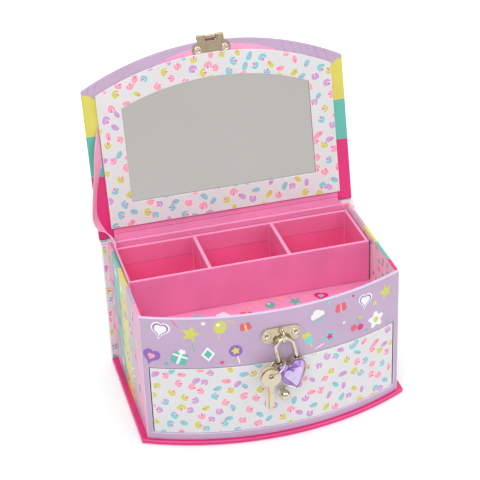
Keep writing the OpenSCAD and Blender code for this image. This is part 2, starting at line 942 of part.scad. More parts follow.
// A flat key in the X-Z plane that hangs from its hole at the origin
module key() {
    hole_up = 1.6;
    bit = key_blade_w / 3;
    rotate([90, 0, 0])
        translate([0, 0, -key_t / 2])
            linear_extrude(key_t)
                difference() {
                    union() {
                        translate([0, -hole_up])
                            circle(d = key_bow_d);
                        translate([-key_blade_w / 2, -key_l + bit])
                            square([key_blade_w, key_l - bit - key_bow_d / 3]);
                        polygon([[-key_blade_w / 2, -key_l + bit], [-key_blade_w / 2 + bit, -key_l],
                            [key_blade_w / 2 - bit, -key_l], [key_blade_w / 2, -key_l + bit]]);
                    }
                    circle(d = key_hole_d);
                    for (step = [0, 1])
                        translate([key_blade_w / 2 - bit + step * bit / 2, -key_l + 2.6 + step * 3.4])
                            square([key_blade_w, 1.6]);
                }
}

module key_front() {
    color(nickel)
        translate(key_front_place)
            key();
}

module key_rear() {
    color(nickel)
        translate(key_rear_place)
            rotate([0, key_rear_swing, 0])
                key();
}

// Ribbon stay from the lid's left margin down to the left wall: a flat strip swept along its route
module lid_ribbon() {
    n = len(ribbon_route);
    function along(i) = unit(ribbon_route[min(i + 1, n - 1)] - ribbon_route[max(i - 1, 0)]);
    function corners(i) =
        let (
            c = ribbon_route[i] + [-base_w / 2, back_y, body_top],
            side = cross(along(i), ribbon_across[i]),
            a = ribbon_across[i] * ribbon_w / 2 / norm(side),
            b = unit(side) * ribbon_t / 2
        )
        [c - a - b, c + a - b, c + a + b, c - a + b];
    function halves(a, b, c, d) = [[a, b, c], [a, c, d]];
    last = 4 * (n - 1);
    sides = [for (i = [0 : n - 2], k = [0 : 3]) let (j = (k + 1) % 4)
        each halves(4 * i + k, 4 * i + 4 + k, 4 * i + 4 + j, 4 * i + j)];
    color(pale_pink)
        polyhedron([for (i = [0 : n - 1]) each corners(i)],
            concat(halves(0, 1, 2, 3), sides, halves(last + 3, last + 2, last + 1, last)), convexity = 6);
}

base_board();
spine_board();
lid_board();
hinge_paper();
hinge_lining();
back_wall();
left_wall();
right_wall();
front_frame();
drawer_floor_board();
floor_spacers();
shelf();
tray_floor();
tray_front();
tray_back();
tray_left();
tray_right();
tray_divider_left();
tray_divider_right();
drawer_floor();
drawer_left();
drawer_right();
drawer_back();
drawer_front();
drawer_knob();
knob_screw();
knob_washer();
mirror_frame();
mirror();
hasp_plate();
hasp_rivets();
hasp_pin();
hasp_leaf();
latch_plate();
latch_rivets();
staple();
shackle();
lock_case();
lock_gem();
lock_plug();
key_ring();
key_front();
key_rear();
lid_ribbon();
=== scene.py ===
"""Looks of a paper-covered vanity box: a mirror lid, a lift-out tray, a bow-fronted drawer and a heart padlock.

Sizes are in millimetres in the part's own frame, and a mesh becomes metres when its piece is finished. The origin
is on the resting plane, midway along the straight sides of the base, with the bowed front along -Y.
"""

import json
import logging
import math
import random
from collections.abc import Callable, Iterable, Sequence
from dataclasses import dataclass
from enum import Enum

import bmesh
import bpy
from bmesh.types import BMEdge, BMFace, BMVert
from mathutils import Matrix, Vector

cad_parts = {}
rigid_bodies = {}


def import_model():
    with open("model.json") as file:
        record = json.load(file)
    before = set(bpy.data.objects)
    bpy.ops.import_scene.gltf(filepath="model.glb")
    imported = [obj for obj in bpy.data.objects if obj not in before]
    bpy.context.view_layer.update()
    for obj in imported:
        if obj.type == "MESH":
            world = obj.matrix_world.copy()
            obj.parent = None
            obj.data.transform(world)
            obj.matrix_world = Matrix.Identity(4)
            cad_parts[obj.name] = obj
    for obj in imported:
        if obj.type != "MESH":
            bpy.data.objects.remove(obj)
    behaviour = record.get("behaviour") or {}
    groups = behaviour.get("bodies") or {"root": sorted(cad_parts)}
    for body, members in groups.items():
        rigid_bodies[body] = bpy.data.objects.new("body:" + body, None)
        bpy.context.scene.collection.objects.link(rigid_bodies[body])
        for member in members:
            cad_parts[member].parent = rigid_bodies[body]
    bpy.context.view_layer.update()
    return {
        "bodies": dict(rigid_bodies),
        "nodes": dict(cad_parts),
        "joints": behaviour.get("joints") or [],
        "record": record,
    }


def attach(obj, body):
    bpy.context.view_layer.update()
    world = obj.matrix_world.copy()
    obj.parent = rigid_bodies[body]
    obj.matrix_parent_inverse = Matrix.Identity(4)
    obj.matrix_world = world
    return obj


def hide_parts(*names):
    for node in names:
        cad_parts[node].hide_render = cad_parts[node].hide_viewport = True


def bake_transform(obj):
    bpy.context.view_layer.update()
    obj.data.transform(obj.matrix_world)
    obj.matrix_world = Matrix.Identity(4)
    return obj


LOG = logging.getLogger("vanity_box")
MM = 0.001
UV_NAME = "wrap"
WHITE = (1.0, 1.0, 1.0, 1.0)
# Turns a piece's Z to the front of the box.
TO_FRONT = Matrix.Rotation(math.pi / 2, 4, "X")
Pair = tuple[float, float]
Point = tuple[float, float, float]
Wrap = Callable[[Vector, Vector], Pair]
Surface = Callable[[float, float, float], Point]
Socket = bpy.types.NodeSocket
Material = bpy.types.Material
FRAME: dict = {}


def paint(code: str) -> tuple[float, ...]:
    """Turns a screen colour, rrggbb, into the linear colour that shaders take."""
    screen = [int(code[i : i + 2], 16) / 255 for i in (0, 2, 4)]
    return (*(c / 12.92 if c <= 0.04045 else ((c + 0.055) / 1.055) ** 2.4 for c in screen), 1.0)


class Ink(Enum):
    """The inks and papers of the box."""

    HOT_PINK = "E32078"
    ROSE = "F57FB1"
    DEEP_ROSE = "F46EA5"
    DULL_ROSE = "EF79AB"
    # Dark pink for the painted shade line along the tray's seam and in a groove of the hinge lining.
    SEAM = "A83468"
    # Dark pink for painted shade in the hinge lining's creases.
    CREASE = "D4558F"
    HINGE_PINK = "EE86B5"
    # A light rose: a printed band on the walls and the hasp patch's paper, and also the painted highlight on the tray's
    # rim and on the hinge lining's ridges.
    ROSE_RIM = "F8A6CD"
    PALE_PINK = "F49AC3"
    BLUSH = "FBDDE6"
    LAVENDER = "C3A9C6"
    # A light lilac for the painted highlight on the front's top rim and on its rounded edges.
    RIM_LILAC = "DFCBE8"
    # Dark lilac for painted shade along the pleats.
    PLEAT = "A58BAE"
    LILAC = "CBA3D3"
    TEAL = "62BDAE"
    AQUA = "84CFD4"
    YELLOW = "DDD45F"
    LIME = "D3D45C"
    SALMON = "F8A3B5"
    ACCENT = "F56EB4"
    CORAL = "E85C74"
    WHITE = "F4F2F3"
    GROUND = "E0DFE0"
    HALO = "EAE8E9"
    PURPLE = "8F63BD"
    # Near black for painted shade in the drawer's gap, the rivets' bores and the padlock's leg holes.
    SOOT = "2B2226"
    # Lighter inks for the rounded edges of the boards: painted highlights.
    PINK_EDGE = "EC4C90"
    TRAY_EDGE = "F690BF"
    EDGE_WHITE = "EFEEEF"

    @property
    def colour(self) -> tuple[float, ...]:
        """The ink as a linear colour."""
        return paint(self.value)


MOTIF_INKS = (Ink.CORAL, Ink.HOT_PINK, Ink.WHITE, Ink.LIME, Ink.TEAL, Ink.PURPLE, Ink.YELLOW, Ink.AQUA, Ink.SALMON)


class Nodes:
    """A node tree that is filled by short calls."""

    def __init__(self, tree: bpy.types.NodeTree) -> None:
        """Keeps the tree."""
        self.tree = tree

    def fill(self, node: bpy.types.Node, inputs: Sequence[object] | dict) -> None:
        """Links or sets a node's inputs.

        Args:
            node: The node.
            inputs: A socket or a value for each input, in order, or by its name or number.
        """
        for key, value in inputs.items() if isinstance(inputs, dict) else enumerate(inputs):
            if isinstance(value, Socket):
                self.tree.links.new(value, node.inputs[key])
            else:
                node.inputs[key].default_value = value

    def node(self, kind: str, inputs: Sequence[object] | dict = (), **settings: object) -> bpy.types.Node:
        """Adds a node.

        Args:
            kind: The node's type, without its ShaderNode prefix.
            inputs: Its inputs, as fill takes them.
            **settings: Attributes to set on it.

        Returns:
            The new node.
        """
        made = self.tree.nodes.new("ShaderNode" + kind)
        for key, value in settings.items():
            setattr(made, key, value)
        self.fill(made, inputs)
        return made

    def math(self, kind: str, *values: object) -> Socket:
        """The result of a Math node."""
        return self.node("Math", values, operation=kind).outputs[0]

    def vector(self, kind: str, *values: object) -> Socket:
        """The vector result of a Vector Math node."""
        return self.node("VectorMath", values, operation=kind).outputs[0]

    def length(self, vector: Socket) -> Socket:
        """The length of a vector."""
        return self.node("VectorMath", (vector,), operation="LENGTH").outputs["Value"]

    def part(self, vector: Socket, axis: int) -> Socket:
        """One part of a vector."""
        return self.node("SeparateXYZ", (vector,)).outputs[axis]

    def blend(self, share: object, low: object, high: object) -> Socket:
        """Mixes two colours by the share of the second."""
        return self.node("Mix", {0: share, 6: low, 7: high}, data_type="RGBA", clamp_factor=True).outputs[2]

    def mix(self, share: object, low: object, high: object) -> Socket:
        """Mixes two numbers by the share of the second."""
        return self.node("Mix", {0: share, 2: low, 3: high}, data_type="FLOAT", clamp_factor=True).outputs[0]

    def spread(self, value: object, ends: Pair, onto: Pair, **settings: object) -> Socket:
        """Maps one range of numbers onto another."""
        return self.node("MapRange", (value, *ends, *onto), **settings).outputs[0]

    def step(self, value: object, edge: float, soft: float) -> Socket:
        """0 below an edge and 1 above it; soft is half the width of its slope."""
        return self.spread(value, (edge - soft, edge + soft), (0.0, 1.0), interpolation_type="SMOOTHSTEP")

    def under(self, value: object, edge: float, soft: float) -> Socket:
        """1 below an edge and 0 above it."""
        return self.math("SUBTRACT", 1.0, self.step(value, edge, soft))

    def place(self) -> Socket:
        """The point's place on the object, in metres."""
        return self.node("TexCoord").outputs["Object"]

    def unrolled(self) -> Socket:
        """The point's place on the unrolled paper, in metres."""
        return self.node("UVMap", uv_map=UV_NAME).outputs[0]

    def noise(self, scale: float, detail: float, stretch: Point = (1, 1, 1)) -> Socket:
        """Noise from 0 to 1 on the piece's own coordinates, its scale per metre."""
        where = self.node("Mapping", {"Vector": self.place(), "Scale": stretch}).outputs[0]
        return self.node("TexNoise", {"Vector": where, "Scale": scale, "Detail": detail}).outputs[0]

    def cells(self, where: Socket, pitch: float, chance: float) -> bpy.types.Node:
        """Irregular cells, their pitch in millimetres."""
        inputs = {"Vector": where, "Scale": 1 / MM / pitch, "Randomness": chance}
        return self.node("TexVoronoi", inputs, voronoi_dimensions="2D")

    def bands(self, value: Socket, inks: Sequence[Ink], places: Sequence[float] = ()) -> Socket:
        """Bands of colour with crisp edges.

        Args:
            value: The place across the bands, from 0 to 1.
            inks: The bands' inks.
            places: Where each band starts, or nothing for bands of one width.

        Returns:
            The colour.
        """
        node = self.node("ValToRGB", (value,))
        node.color_ramp.interpolation = "CONSTANT"
        stops = node.color_ramp.elements
        while len(stops) < len(inks):
            stops.new(0.5)
        for stop, where, ink in zip(stops, places or [i / len(inks) for i in range(len(inks))], inks):
            stop.position, stop.color = where, ink.colour
        return node.outputs[0]


class Recipe(Nodes):
    """The node tree of one material, with a Principled shader at its end."""

    def __init__(self, name: str) -> None:
        """Starts a material.

        Args:
            name: The material's name.
        """
        self.material = bpy.data.materials.new(name)
        self.material.use_nodes = True
        super().__init__(self.material.node_tree)
        self.shader = self.tree.nodes["Principled BSDF"]

    def set(self, **values: object) -> None:
        """Sets or links the shader's own inputs; an underscore in a name stands for a space."""
        self.fill(self.shader, {key.replace("_", " "): value for key, value in values.items()})

    def rough(self, value: Socket, low: float, high: float) -> None:
        """Lets a noise vary the roughness between two ends."""
        self.set(Roughness=self.spread(value, (0.3, 0.7), (low, high)))

    def bump(self, height: Socket, strength: float, distance: float) -> None:
        """Adds relief over what the shader already has.

        Args:
            height: The relief.
            strength: Its strength.
            distance: Its depth, in metres.
        """
        inputs = {"Strength": strength, "Distance": distance, "Height": height}
        normal = self.shader.inputs["Normal"]
        if normal.is_linked:
            inputs["Normal"] = normal.links[0].from_socket
        self.set(Normal=self.node("Bump", inputs).outputs[0])

    def end_with(self, surface: Socket) -> None:
        """Shows another shader instead of the Principled one alone."""
        self.fill(self.tree.nodes["Material Output"], {"Surface": surface})


@dataclass(frozen=True)
class Finish:
    """A finish of some pieces.

    Attributes:
        name: The material's name.
    """

    name: str

    def cook(self, recipe: Recipe) -> None:
        """Sets up the material's nodes, each kind of finish in its own way."""
        raise NotImplementedError

    def build(self) -> Material:
        """Makes the material.

        Returns:
            The material.
        """
        recipe = Recipe(self.name)
        self.cook(recipe)
        return recipe.material


@dataclass(frozen=True)
class Paper(Finish):
    """A printed paper with a clear laminate, glued over board.

    Attributes:
        ink: Its plain colour.
        gloss: The laminate's roughness; lower is glossier.
        coat: The strength of the laminate's shine.
        mottle: How far its colour varies.
    """

    ink: Ink = Ink.WHITE
    gloss: float = 0.34
    coat: float = 0.3
    mottle: float = 0.05

    def colour(self, recipe: Recipe) -> object:
        """The paper's colour or colour socket before its mottling."""
        return self.ink.colour

    def cook(self, recipe: Recipe) -> None:
        """Mottles the colour, and adds the laminate's shine and the paper's grain.

        Args:
            recipe: The material's recipe.
        """
        plain = self.colour(recipe)
        cloud = recipe.spread(recipe.noise(34.0, 3.0), (0.3, 0.7), (1 - self.mottle, 1 + self.mottle))
        shade = recipe.node("HueSaturation", {"Color": plain, "Value": cloud})
        recipe.set(Base_Color=shade.outputs[0], Coat_Weight=self.coat, Coat_Roughness=0.16, IOR=1.48)
        recipe.rough(recipe.noise(120.0, 4.0), self.gloss - 0.05, self.gloss + 0.08)
        recipe.bump(recipe.noise(21.0, 2.0), 0.35, 0.0004)
        recipe.bump(recipe.noise(1900.0, 5.0), 0.22, 0.00004)


@dataclass(frozen=True)
class Confetti(Paper):
    """Paper with a loose scatter of small dots."""

    @staticmethod
    def scatter(recipe: Recipe, ground: object) -> Socket:
        """Scatters small dots of several inks over a ground.

        Args:
            recipe: The material's recipe.
            ground: The colour under the dots.

        Returns:
            The colour socket.
        """
        cells = recipe.cells(recipe.unrolled(), 8.2, 0.85)
        inks = (Ink.ACCENT, Ink.WHITE, Ink.LIME, Ink.AQUA, Ink.LILAC)
        pick = recipe.bands(recipe.part(cells.outputs["Color"], 0), inks)
        dot = recipe.under(cells.outputs["Distance"], 0.24, 0.015)
        present = recipe.step(recipe.part(cells.outputs["Color"], 1), 0.3, 0.01)
        return recipe.blend(recipe.math("MULTIPLY", dot, present), ground, pick)

    def colour(self, recipe: Recipe) -> object:
        """The dots over the plain ink."""
        return self.scatter(recipe, self.ink.colour)


@dataclass(frozen=True)
class BandedPaper(Paper):
    """Paper printed in broad bands.

    Attributes:
        edges: The places of the edges between the bands, in millimetres.
        inks: The bands' inks, one more than the edges.
        unroll: Whether the bands follow the unrolled paper instead of the box's depth.
        lining: The ink of the lining inside, or nothing.
        lining_from: The X beyond which the outer paper shows, measured from the middle.
        turned_from: The Z above which the outer paper is turned in over the rim.
    """

    edges: tuple[float, ...] = ()
    inks: tuple[Ink, ...] = ()
    unroll: bool = False
    lining: Ink | None = None
    lining_from: float = 93.6
    turned_from: float = 106.2

    def colour(self, recipe: Recipe) -> object:
        """The bands, and the lining inside them.

        Args:
            recipe: The material's recipe.

        Returns:
            The colour socket.
        """
        low, high = self.edges[0] - 1, self.edges[-1] + 1
        along = recipe.part(recipe.unrolled() if self.unroll else recipe.place(), 1)
        along = recipe.spread(along, (low * MM, high * MM), (0.0, 1.0))
        outside = recipe.bands(along, self.inks, [0.0] + [(edge - low) / (high - low) for edge in self.edges])
        if self.lining is None:
            return outside
        inside = Confetti.scatter(recipe, self.lining.colour)
        sideways = recipe.math("ABSOLUTE", recipe.part(recipe.place(), 0))
        over = recipe.step(sideways, self.lining_from * MM, 0.00004)
        turned = recipe.step(recipe.part(recipe.place(), 2), self.turned_from * MM, 0.0001)
        return recipe.blend(recipe.math("MAXIMUM", over, turned), inside, outside)


@dataclass(frozen=True)
class RimHighlightPaper(Paper):
    """Paper whose upper edge is painted lighter: a painted highlight on the top face, where light from above falls.

    Attributes:
        rim: The ink of the painted highlight on the upper edge.
        rim_z: The height above which the painted highlight shows, in millimetres.
    """

    rim: Ink = Ink.ROSE_RIM
    rim_z: float = 102.85

    def colour(self, recipe: Recipe) -> object:
        """The plain ink with a painted highlight on the rim."""
        # The top face is painted lighter: a painted highlight.
        above = recipe.step(recipe.part(recipe.place(), 2), self.rim_z * MM, 0.00025)
        return recipe.blend(above, self.ink.colour, self.rim.colour)


@dataclass(frozen=True)
class SeamedPaper(RimHighlightPaper):
    """Paper in a compartment with a painted highlight on its rim, turned over the rim and ending in a seam.

    Attributes:
        below: The ink of the lining under the seam.
        seam_z: The seam's mean height, in millimetres.
        waver: How far the seam wavers, in millimetres.
    """

    below: Ink = Ink.DEEP_ROSE
    seam_z: float = 88.5
    waver: float = 1.6

    def colour(self, recipe: Recipe) -> object:
        """The turned paper over the lining, with the seam's shade between them.

        Args:
            recipe: The material's recipe.

        Returns:
            The colour socket.
        """
        turned = super().colour(recipe)
        waver = recipe.noise(28.0, 1.0)
        height = recipe.math("MULTIPLY_ADD", waver, self.waver * MM, recipe.part(recipe.place(), 2))
        seam = (self.seam_z + self.waver / 2) * MM
        both = recipe.blend(recipe.step(height, seam, 0.00005), self.below.colour, turned)
        line = recipe.math("ABSOLUTE", recipe.math("SUBTRACT", height, seam))
        near = recipe.under(line, 0.00014, 0.00012)
        recipe.bump(recipe.step(height, seam, 0.0001), 0.6, 0.0002)
        # A thin line of painted shade along the seam.
        return recipe.blend(recipe.math("MULTIPLY", near, 0.75), both, Ink.SEAM.colour)


@dataclass(frozen=True)
class CreasedPaper(Paper):
    """Paper with creases across it, where it bends over a hinge; its lines are painted shade in the creases and painted
    highlights on the ridges.

    Attributes:
        creases: Each line's place along the paper, its half width and its ink: a dark ink is painted shade in a crease,
            a light ink a painted highlight on a ridge.
    """

    creases: tuple[tuple[float, float, Ink], ...] = ()

    def colour(self, recipe: Recipe) -> object:
        """The plain ink with painted shade in the creases and painted highlights on the ridges between them.

        Args:
            recipe: The material's recipe.

        Returns:
            The colour socket.
        """
        waver = recipe.math("MULTIPLY_ADD", recipe.noise(40.0, 2.0), 0.0008, -0.0004)
        along = recipe.math("ADD", recipe.part(recipe.unrolled(), 1), waver)
        shade: object = self.ink.colour
        for at, half, ink in self.creases:
            away = recipe.math("ABSOLUTE", recipe.math("SUBTRACT", along, at * MM))
            near = recipe.under(away, half * MM, half * MM * 0.6)
            # Each line blends in a dark ink, painted shade, or a light ink, a painted highlight.
            shade = recipe.blend(recipe.math("MULTIPLY", near, 0.7), shade, ink.colour)
            recipe.bump(near, 0.35, 0.0002)
        recipe.bump(recipe.noise(90.0, 3.0, (0.12, 1, 1)), 0.5, 0.0005)
        return shade


@dataclass(frozen=True)
class PleatedPaper(Paper):
    """Paper turned in round a bow, with small pleats towards its ends and painted shade along each pleat's edge.

    Attributes:
        pitch: The distance between pleats, in millimetres.
        smooth_to: How far from the middle the paper is smooth, in millimetres.
        offset: How much further it is smooth on the left, in metres.
    """

    pitch: float = 5.6
    smooth_to: float = 50.0
    offset: float = 0.034

    def colour(self, recipe: Recipe) -> object:
        """The plain ink with painted shade along the pleats' edges.

        Args:
            recipe: The material's recipe.

        Returns:
            The colour socket.
        """
        across = recipe.part(recipe.unrolled(), 0)
        lean = recipe.math("MULTIPLY", recipe.part(recipe.unrolled(), 1), 60.0)
        away = recipe.math("MAXIMUM", across, recipe.math("MULTIPLY_ADD", across, -1.0, -self.offset))
        turns = recipe.math("MULTIPLY_ADD", away, 1 / MM / self.pitch, lean)
        slope = recipe.math("FRACT", recipe.math("ADD", turns, recipe.noise(60.0, 1.0)))
        pleated = recipe.step(away, self.smooth_to * MM, 0.003)
        edge = recipe.under(slope, 0.08, 0.05)
        recipe.bump(recipe.math("MULTIPLY", slope, pleated), 0.7, 0.0004)
        shown = recipe.math("MULTIPLY", recipe.math("MULTIPLY", edge, pleated), 0.65)
        # The pleats' edges are painted darker: painted shade.
        return recipe.blend(shown, self.ink.colour, Ink.PLEAT.colour)


@dataclass(frozen=True)
class SpotPrint(Paper):
    """White paper with a spotted-cat print: bean and C shapes in soft inks, each with a bright dab.

    Attributes:
        pitch: The distance between spots, in millimetres.
    """

    pitch: float = 9.3

    def colour(self, recipe: Recipe) -> object:
        """The spots over the plain ink.

        Args:
            recipe: The material's recipe.

        Returns:
            The colour socket.
        """
        scale = 1 / MM / self.pitch
        slant = {"Vector": recipe.unrolled(), "Rotation": (0, 0, math.radians(28))}
        where = recipe.node("Mapping", slant).outputs[0]
        cells = recipe.cells(where, self.pitch, 0.55)
        chance = [recipe.part(cells.outputs["Color"], axis) for axis in range(3)]
        local = recipe.vector("SUBTRACT", where, cells.outputs["Position"])
        local = recipe.vector("MULTIPLY", local, (scale, scale, 0.0))
        turn = {"Vector": local, "Angle": recipe.math("MULTIPLY", chance[0], 2 * math.pi)}
        turned = recipe.node("VectorRotate", turn, rotation_type="Z_AXIS").outputs[0]
        wobble = recipe.node("TexNoise", {"Vector": where, "Scale": 300.0, "Detail": 0.0}, noise_dimensions="2D")
        sway = recipe.math("MULTIPLY_ADD", wobble.outputs[0], 0.4, -0.2)

        def oval(x: float, y: float, rx: float, ry: float, swell: object = 1.0) -> Socket:
            """How far out of an oval's middle the point is.

            Args:
                x: The oval's middle across.
                y: The oval's middle along.
                rx: Its half width.
                ry: Its half height.
                swell: A factor on its size.

            Returns:
                Its distance from the middle, 1 at the edge.
            """
            shifted = recipe.vector("SUBTRACT", turned, (x, y, 0.0))
            reach = recipe.length(recipe.vector("DIVIDE", shifted, (rx, ry, 1.0)))
            return recipe.math("ADD", recipe.math("DIVIDE", reach, swell), sway)

        swell = recipe.math("MULTIPLY_ADD", chance[0], 0.22, 0.9)
        curled = recipe.math("GREATER_THAN", chance[1], 0.36)
        body = recipe.math("MINIMUM", oval(0.0, 0.0, 0.34, 0.22, swell), oval(0.02, 0.03, 0.28, 0.29, swell))
        body = recipe.mix(curled, oval(0.0, 0.0, 0.36, 0.215, swell), body)
        hollow = recipe.math("MINIMUM", oval(0.02, -0.06, 0.12, 0.1), oval(0.06, -0.24, 0.1, 0.2))
        hollow = recipe.math("MULTIPLY", recipe.under(hollow, 1.0, 0.05), curled)
        spot = recipe.math("MULTIPLY", recipe.under(body, 1.0, 0.05), recipe.math("SUBTRACT", 1.0, hollow))
        dab = recipe.mix(curled, oval(0.13, -0.02, 0.15, 0.055), oval(0.0, -0.14, 0.075, 0.17))
        pick = recipe.bands(chance[2], (Ink.AQUA, Ink.SALMON, Ink.LILAC, Ink.LIME))
        ground = recipe.blend(recipe.under(body, 1.16, 0.05), self.ink.colour, Ink.HALO.colour)
        spotted = recipe.blend(spot, ground, pick)
        return recipe.blend(recipe.under(dab, 1.0, 0.05), spotted, Ink.ACCENT.colour)


@dataclass(frozen=True)
class Metal(Finish):
    """Bright nickel plating, lightly brushed by handling.

    Attributes:
        colour: The plating's colour.
        gloss: Its roughness.
        tarnish: The colour of its duller places.
    """

    colour: str = "E6DEC9"
    gloss: float = 0.13
    tarnish: str = "C2B292"

    def cook(self, recipe: Recipe) -> None:
        """Plates it, with a little tarnish.

        Args:
            recipe: The material's recipe.
        """
        share = recipe.math("MULTIPLY", recipe.step(recipe.noise(90.0, 2.0), 0.6, 0.3), 0.45)
        recipe.set(Base_Color=recipe.blend(share, paint(self.colour), paint(self.tarnish)), Metallic=1.0)
        recipe.rough(recipe.noise(420.0, 3.0, (1, 1, 0.3)), self.gloss - 0.05, self.gloss + 0.08)
        recipe.bump(recipe.noise(1500.0, 2.0, (1, 1, 0.25)), 0.06, 0.00002)


@dataclass(frozen=True)
class Gem(Finish):
    """Moulded clear plastic with a foil behind it, purple all through.

    Attributes:
        dark: Its colour in the darker patches.
        pale: Its colour in the paler patches, a painted reflection of the foil.
    """

    dark: str
    pale: str

    def cook(self, recipe: Recipe) -> None:
        """Mixes darker and paler patches by noise; the paler ones are a painted reflection of the foil.

        Args:
            recipe: The material's recipe.
        """
        depth = recipe.step(recipe.noise(150.0, 1.0), 0.5, 0.16)
        recipe.set(Base_Color=recipe.blend(depth, paint(self.dark), paint(self.pale)))
        recipe.rough(recipe.noise(500.0, 3.0), 0.02, 0.07)
        recipe.set(IOR=1.56, Metallic=0.25, Coat_Weight=1.0, Coat_Roughness=0.02, Coat_IOR=1.7)
        recipe.bump(recipe.noise(700.0, 2.0), 0.05, 0.00002)


@dataclass(frozen=True)
class MirrorGlass(Finish):
    """Silvered glass with the faint dust of handling."""

    def cook(self, recipe: Recipe) -> None:
        """Silvers it, with specks of dust.

        Args:
            recipe: The material's recipe.
        """
        glass = recipe.blend(recipe.noise(9.0, 2.0), paint("C2BFBC"), paint("BAB7B3"))
        dust = recipe.math("MULTIPLY", recipe.step(recipe.noise(900.0, 3.0), 0.7, 0.04), 0.35)
        recipe.set(Base_Color=recipe.blend(dust, glass, paint("D8D6D3")), Metallic=1.0, Roughness=0.0)
        recipe.bump(recipe.noise(6.0, 1.0), 0.02, 0.0005)


@dataclass(frozen=True)
class Satin(Finish):
    """Woven satin ribbon: fine warp threads along it, a firmer edge on both sides.

    Attributes:
        width: The ribbon's width, in metres.
    """

    width: float = 0.01

    def cook(self, recipe: Recipe) -> None:
        """Weaves it.

        Args:
            recipe: The material's recipe.
        """
        across = recipe.math("ABSOLUTE", recipe.part(recipe.unrolled(), 0))
        edge = recipe.step(across, self.width * 0.43, self.width * 0.02)
        ground = recipe.blend(recipe.noise(60.0, 2.0), paint("F39DC0"), paint("F8B2CF"))
        recipe.set(Base_Color=recipe.blend(edge, ground, paint("FBC6DC")))
        recipe.set(Sheen_Weight=0.35, Sheen_Roughness=0.35, Anisotropic=0.5)
        recipe.rough(recipe.noise(300.0, 3.0), 0.34, 0.5)
        for axis, scale, strength, depth in (("X", 900.0, 0.3, 0.00006), ("Y", 500.0, 0.18, 0.00005)):
            inputs = {"Vector": recipe.unrolled(), "Scale": scale}
            threads = recipe.node("TexWave", inputs, wave_type="BANDS", bands_direction=axis)
            recipe.bump(threads.outputs["Fac"], strength, depth)
        recipe.bump(edge, 0.5, 0.00012)


@dataclass(frozen=True)
class Greyboard(Finish):
    """Bare grey board with loose fibres."""

    def cook(self, recipe: Recipe) -> None:
        """Lays its fibres.

        Args:
            recipe: The material's recipe.
        """
        fibres = recipe.noise(420.0, 6.0, (1, 3, 1))
        recipe.set(Base_Color=recipe.blend(fibres, paint("8F8375"), paint("C2B6A2")))
        recipe.rough(recipe.noise(200.0, 3.0), 0.75, 0.95)
        recipe.bump(fibres, 0.5, 0.0001)


@dataclass(frozen=True)
class Outline:
    """A board's outline: straight sides, a straight back and a bowed front.

    Attributes:
        width: The distance between the straight sides.
        back: Y of the back edge.
        centre: Y of the middle of the bow's circle.
        radius: The bow's radius.
    """

    width: float
    back: float
    centre: float
    radius: float

    def inset(self, margin: float) -> "Outline":
        """The same outline drawn in by a margin on every side."""
        return Outline(self.width - 2 * margin, self.back - margin, self.centre, self.radius - margin)

    def front(self, x: float) -> float:
        """Y of the bow at a place across it."""
        return self.centre - math.sqrt(self.radius**2 - x * x)

    def bend(self, place: Vector) -> Vector:
        """Takes a point of a flat plate, its outer face at Y 0, to the bow."""
        return Vector((place.x, self.centre - math.sqrt((self.radius - place.y) ** 2 - place.x**2), place.z))

    def wrapped(self, along: float, z: float, proud: float) -> Point:
        """A point proud of the bow, from its distance along it and its height."""
        angle, reach = along / self.radius, self.radius + proud
        return reach * math.sin(angle), self.centre - reach * math.cos(angle), z

    def wrap(self, point: Vector, normal: Vector) -> Pair:
        """The place of a point on paper unrolled along the bow.

        Args:
            point: A point on the board.
            normal: Its face's normal.

        Returns:
            Its place on the paper.
        """
        along = self.radius * math.atan2(point.x, self.centre - point.y)
        if abs(normal.z) > 0.8:
            return along, point.z - (self.centre - point.y)
        return along + (point.y if abs(normal.x) > 0.8 else 0.0), point.z


def flat_wrap(point: Vector, normal: Vector) -> Pair:
    """Paper round straight boards: each face takes the two coordinates that lie along it.

    Args:
        point: A point on the board.
        normal: Its face's normal.

    Returns:
        Its place on the paper.
    """
    size = [abs(n) for n in normal]
    if size[2] >= max(size[0], size[1]):
        return point.x, point.y
    return (point.y, point.z) if size[0] > size[1] else (point.x, point.z)


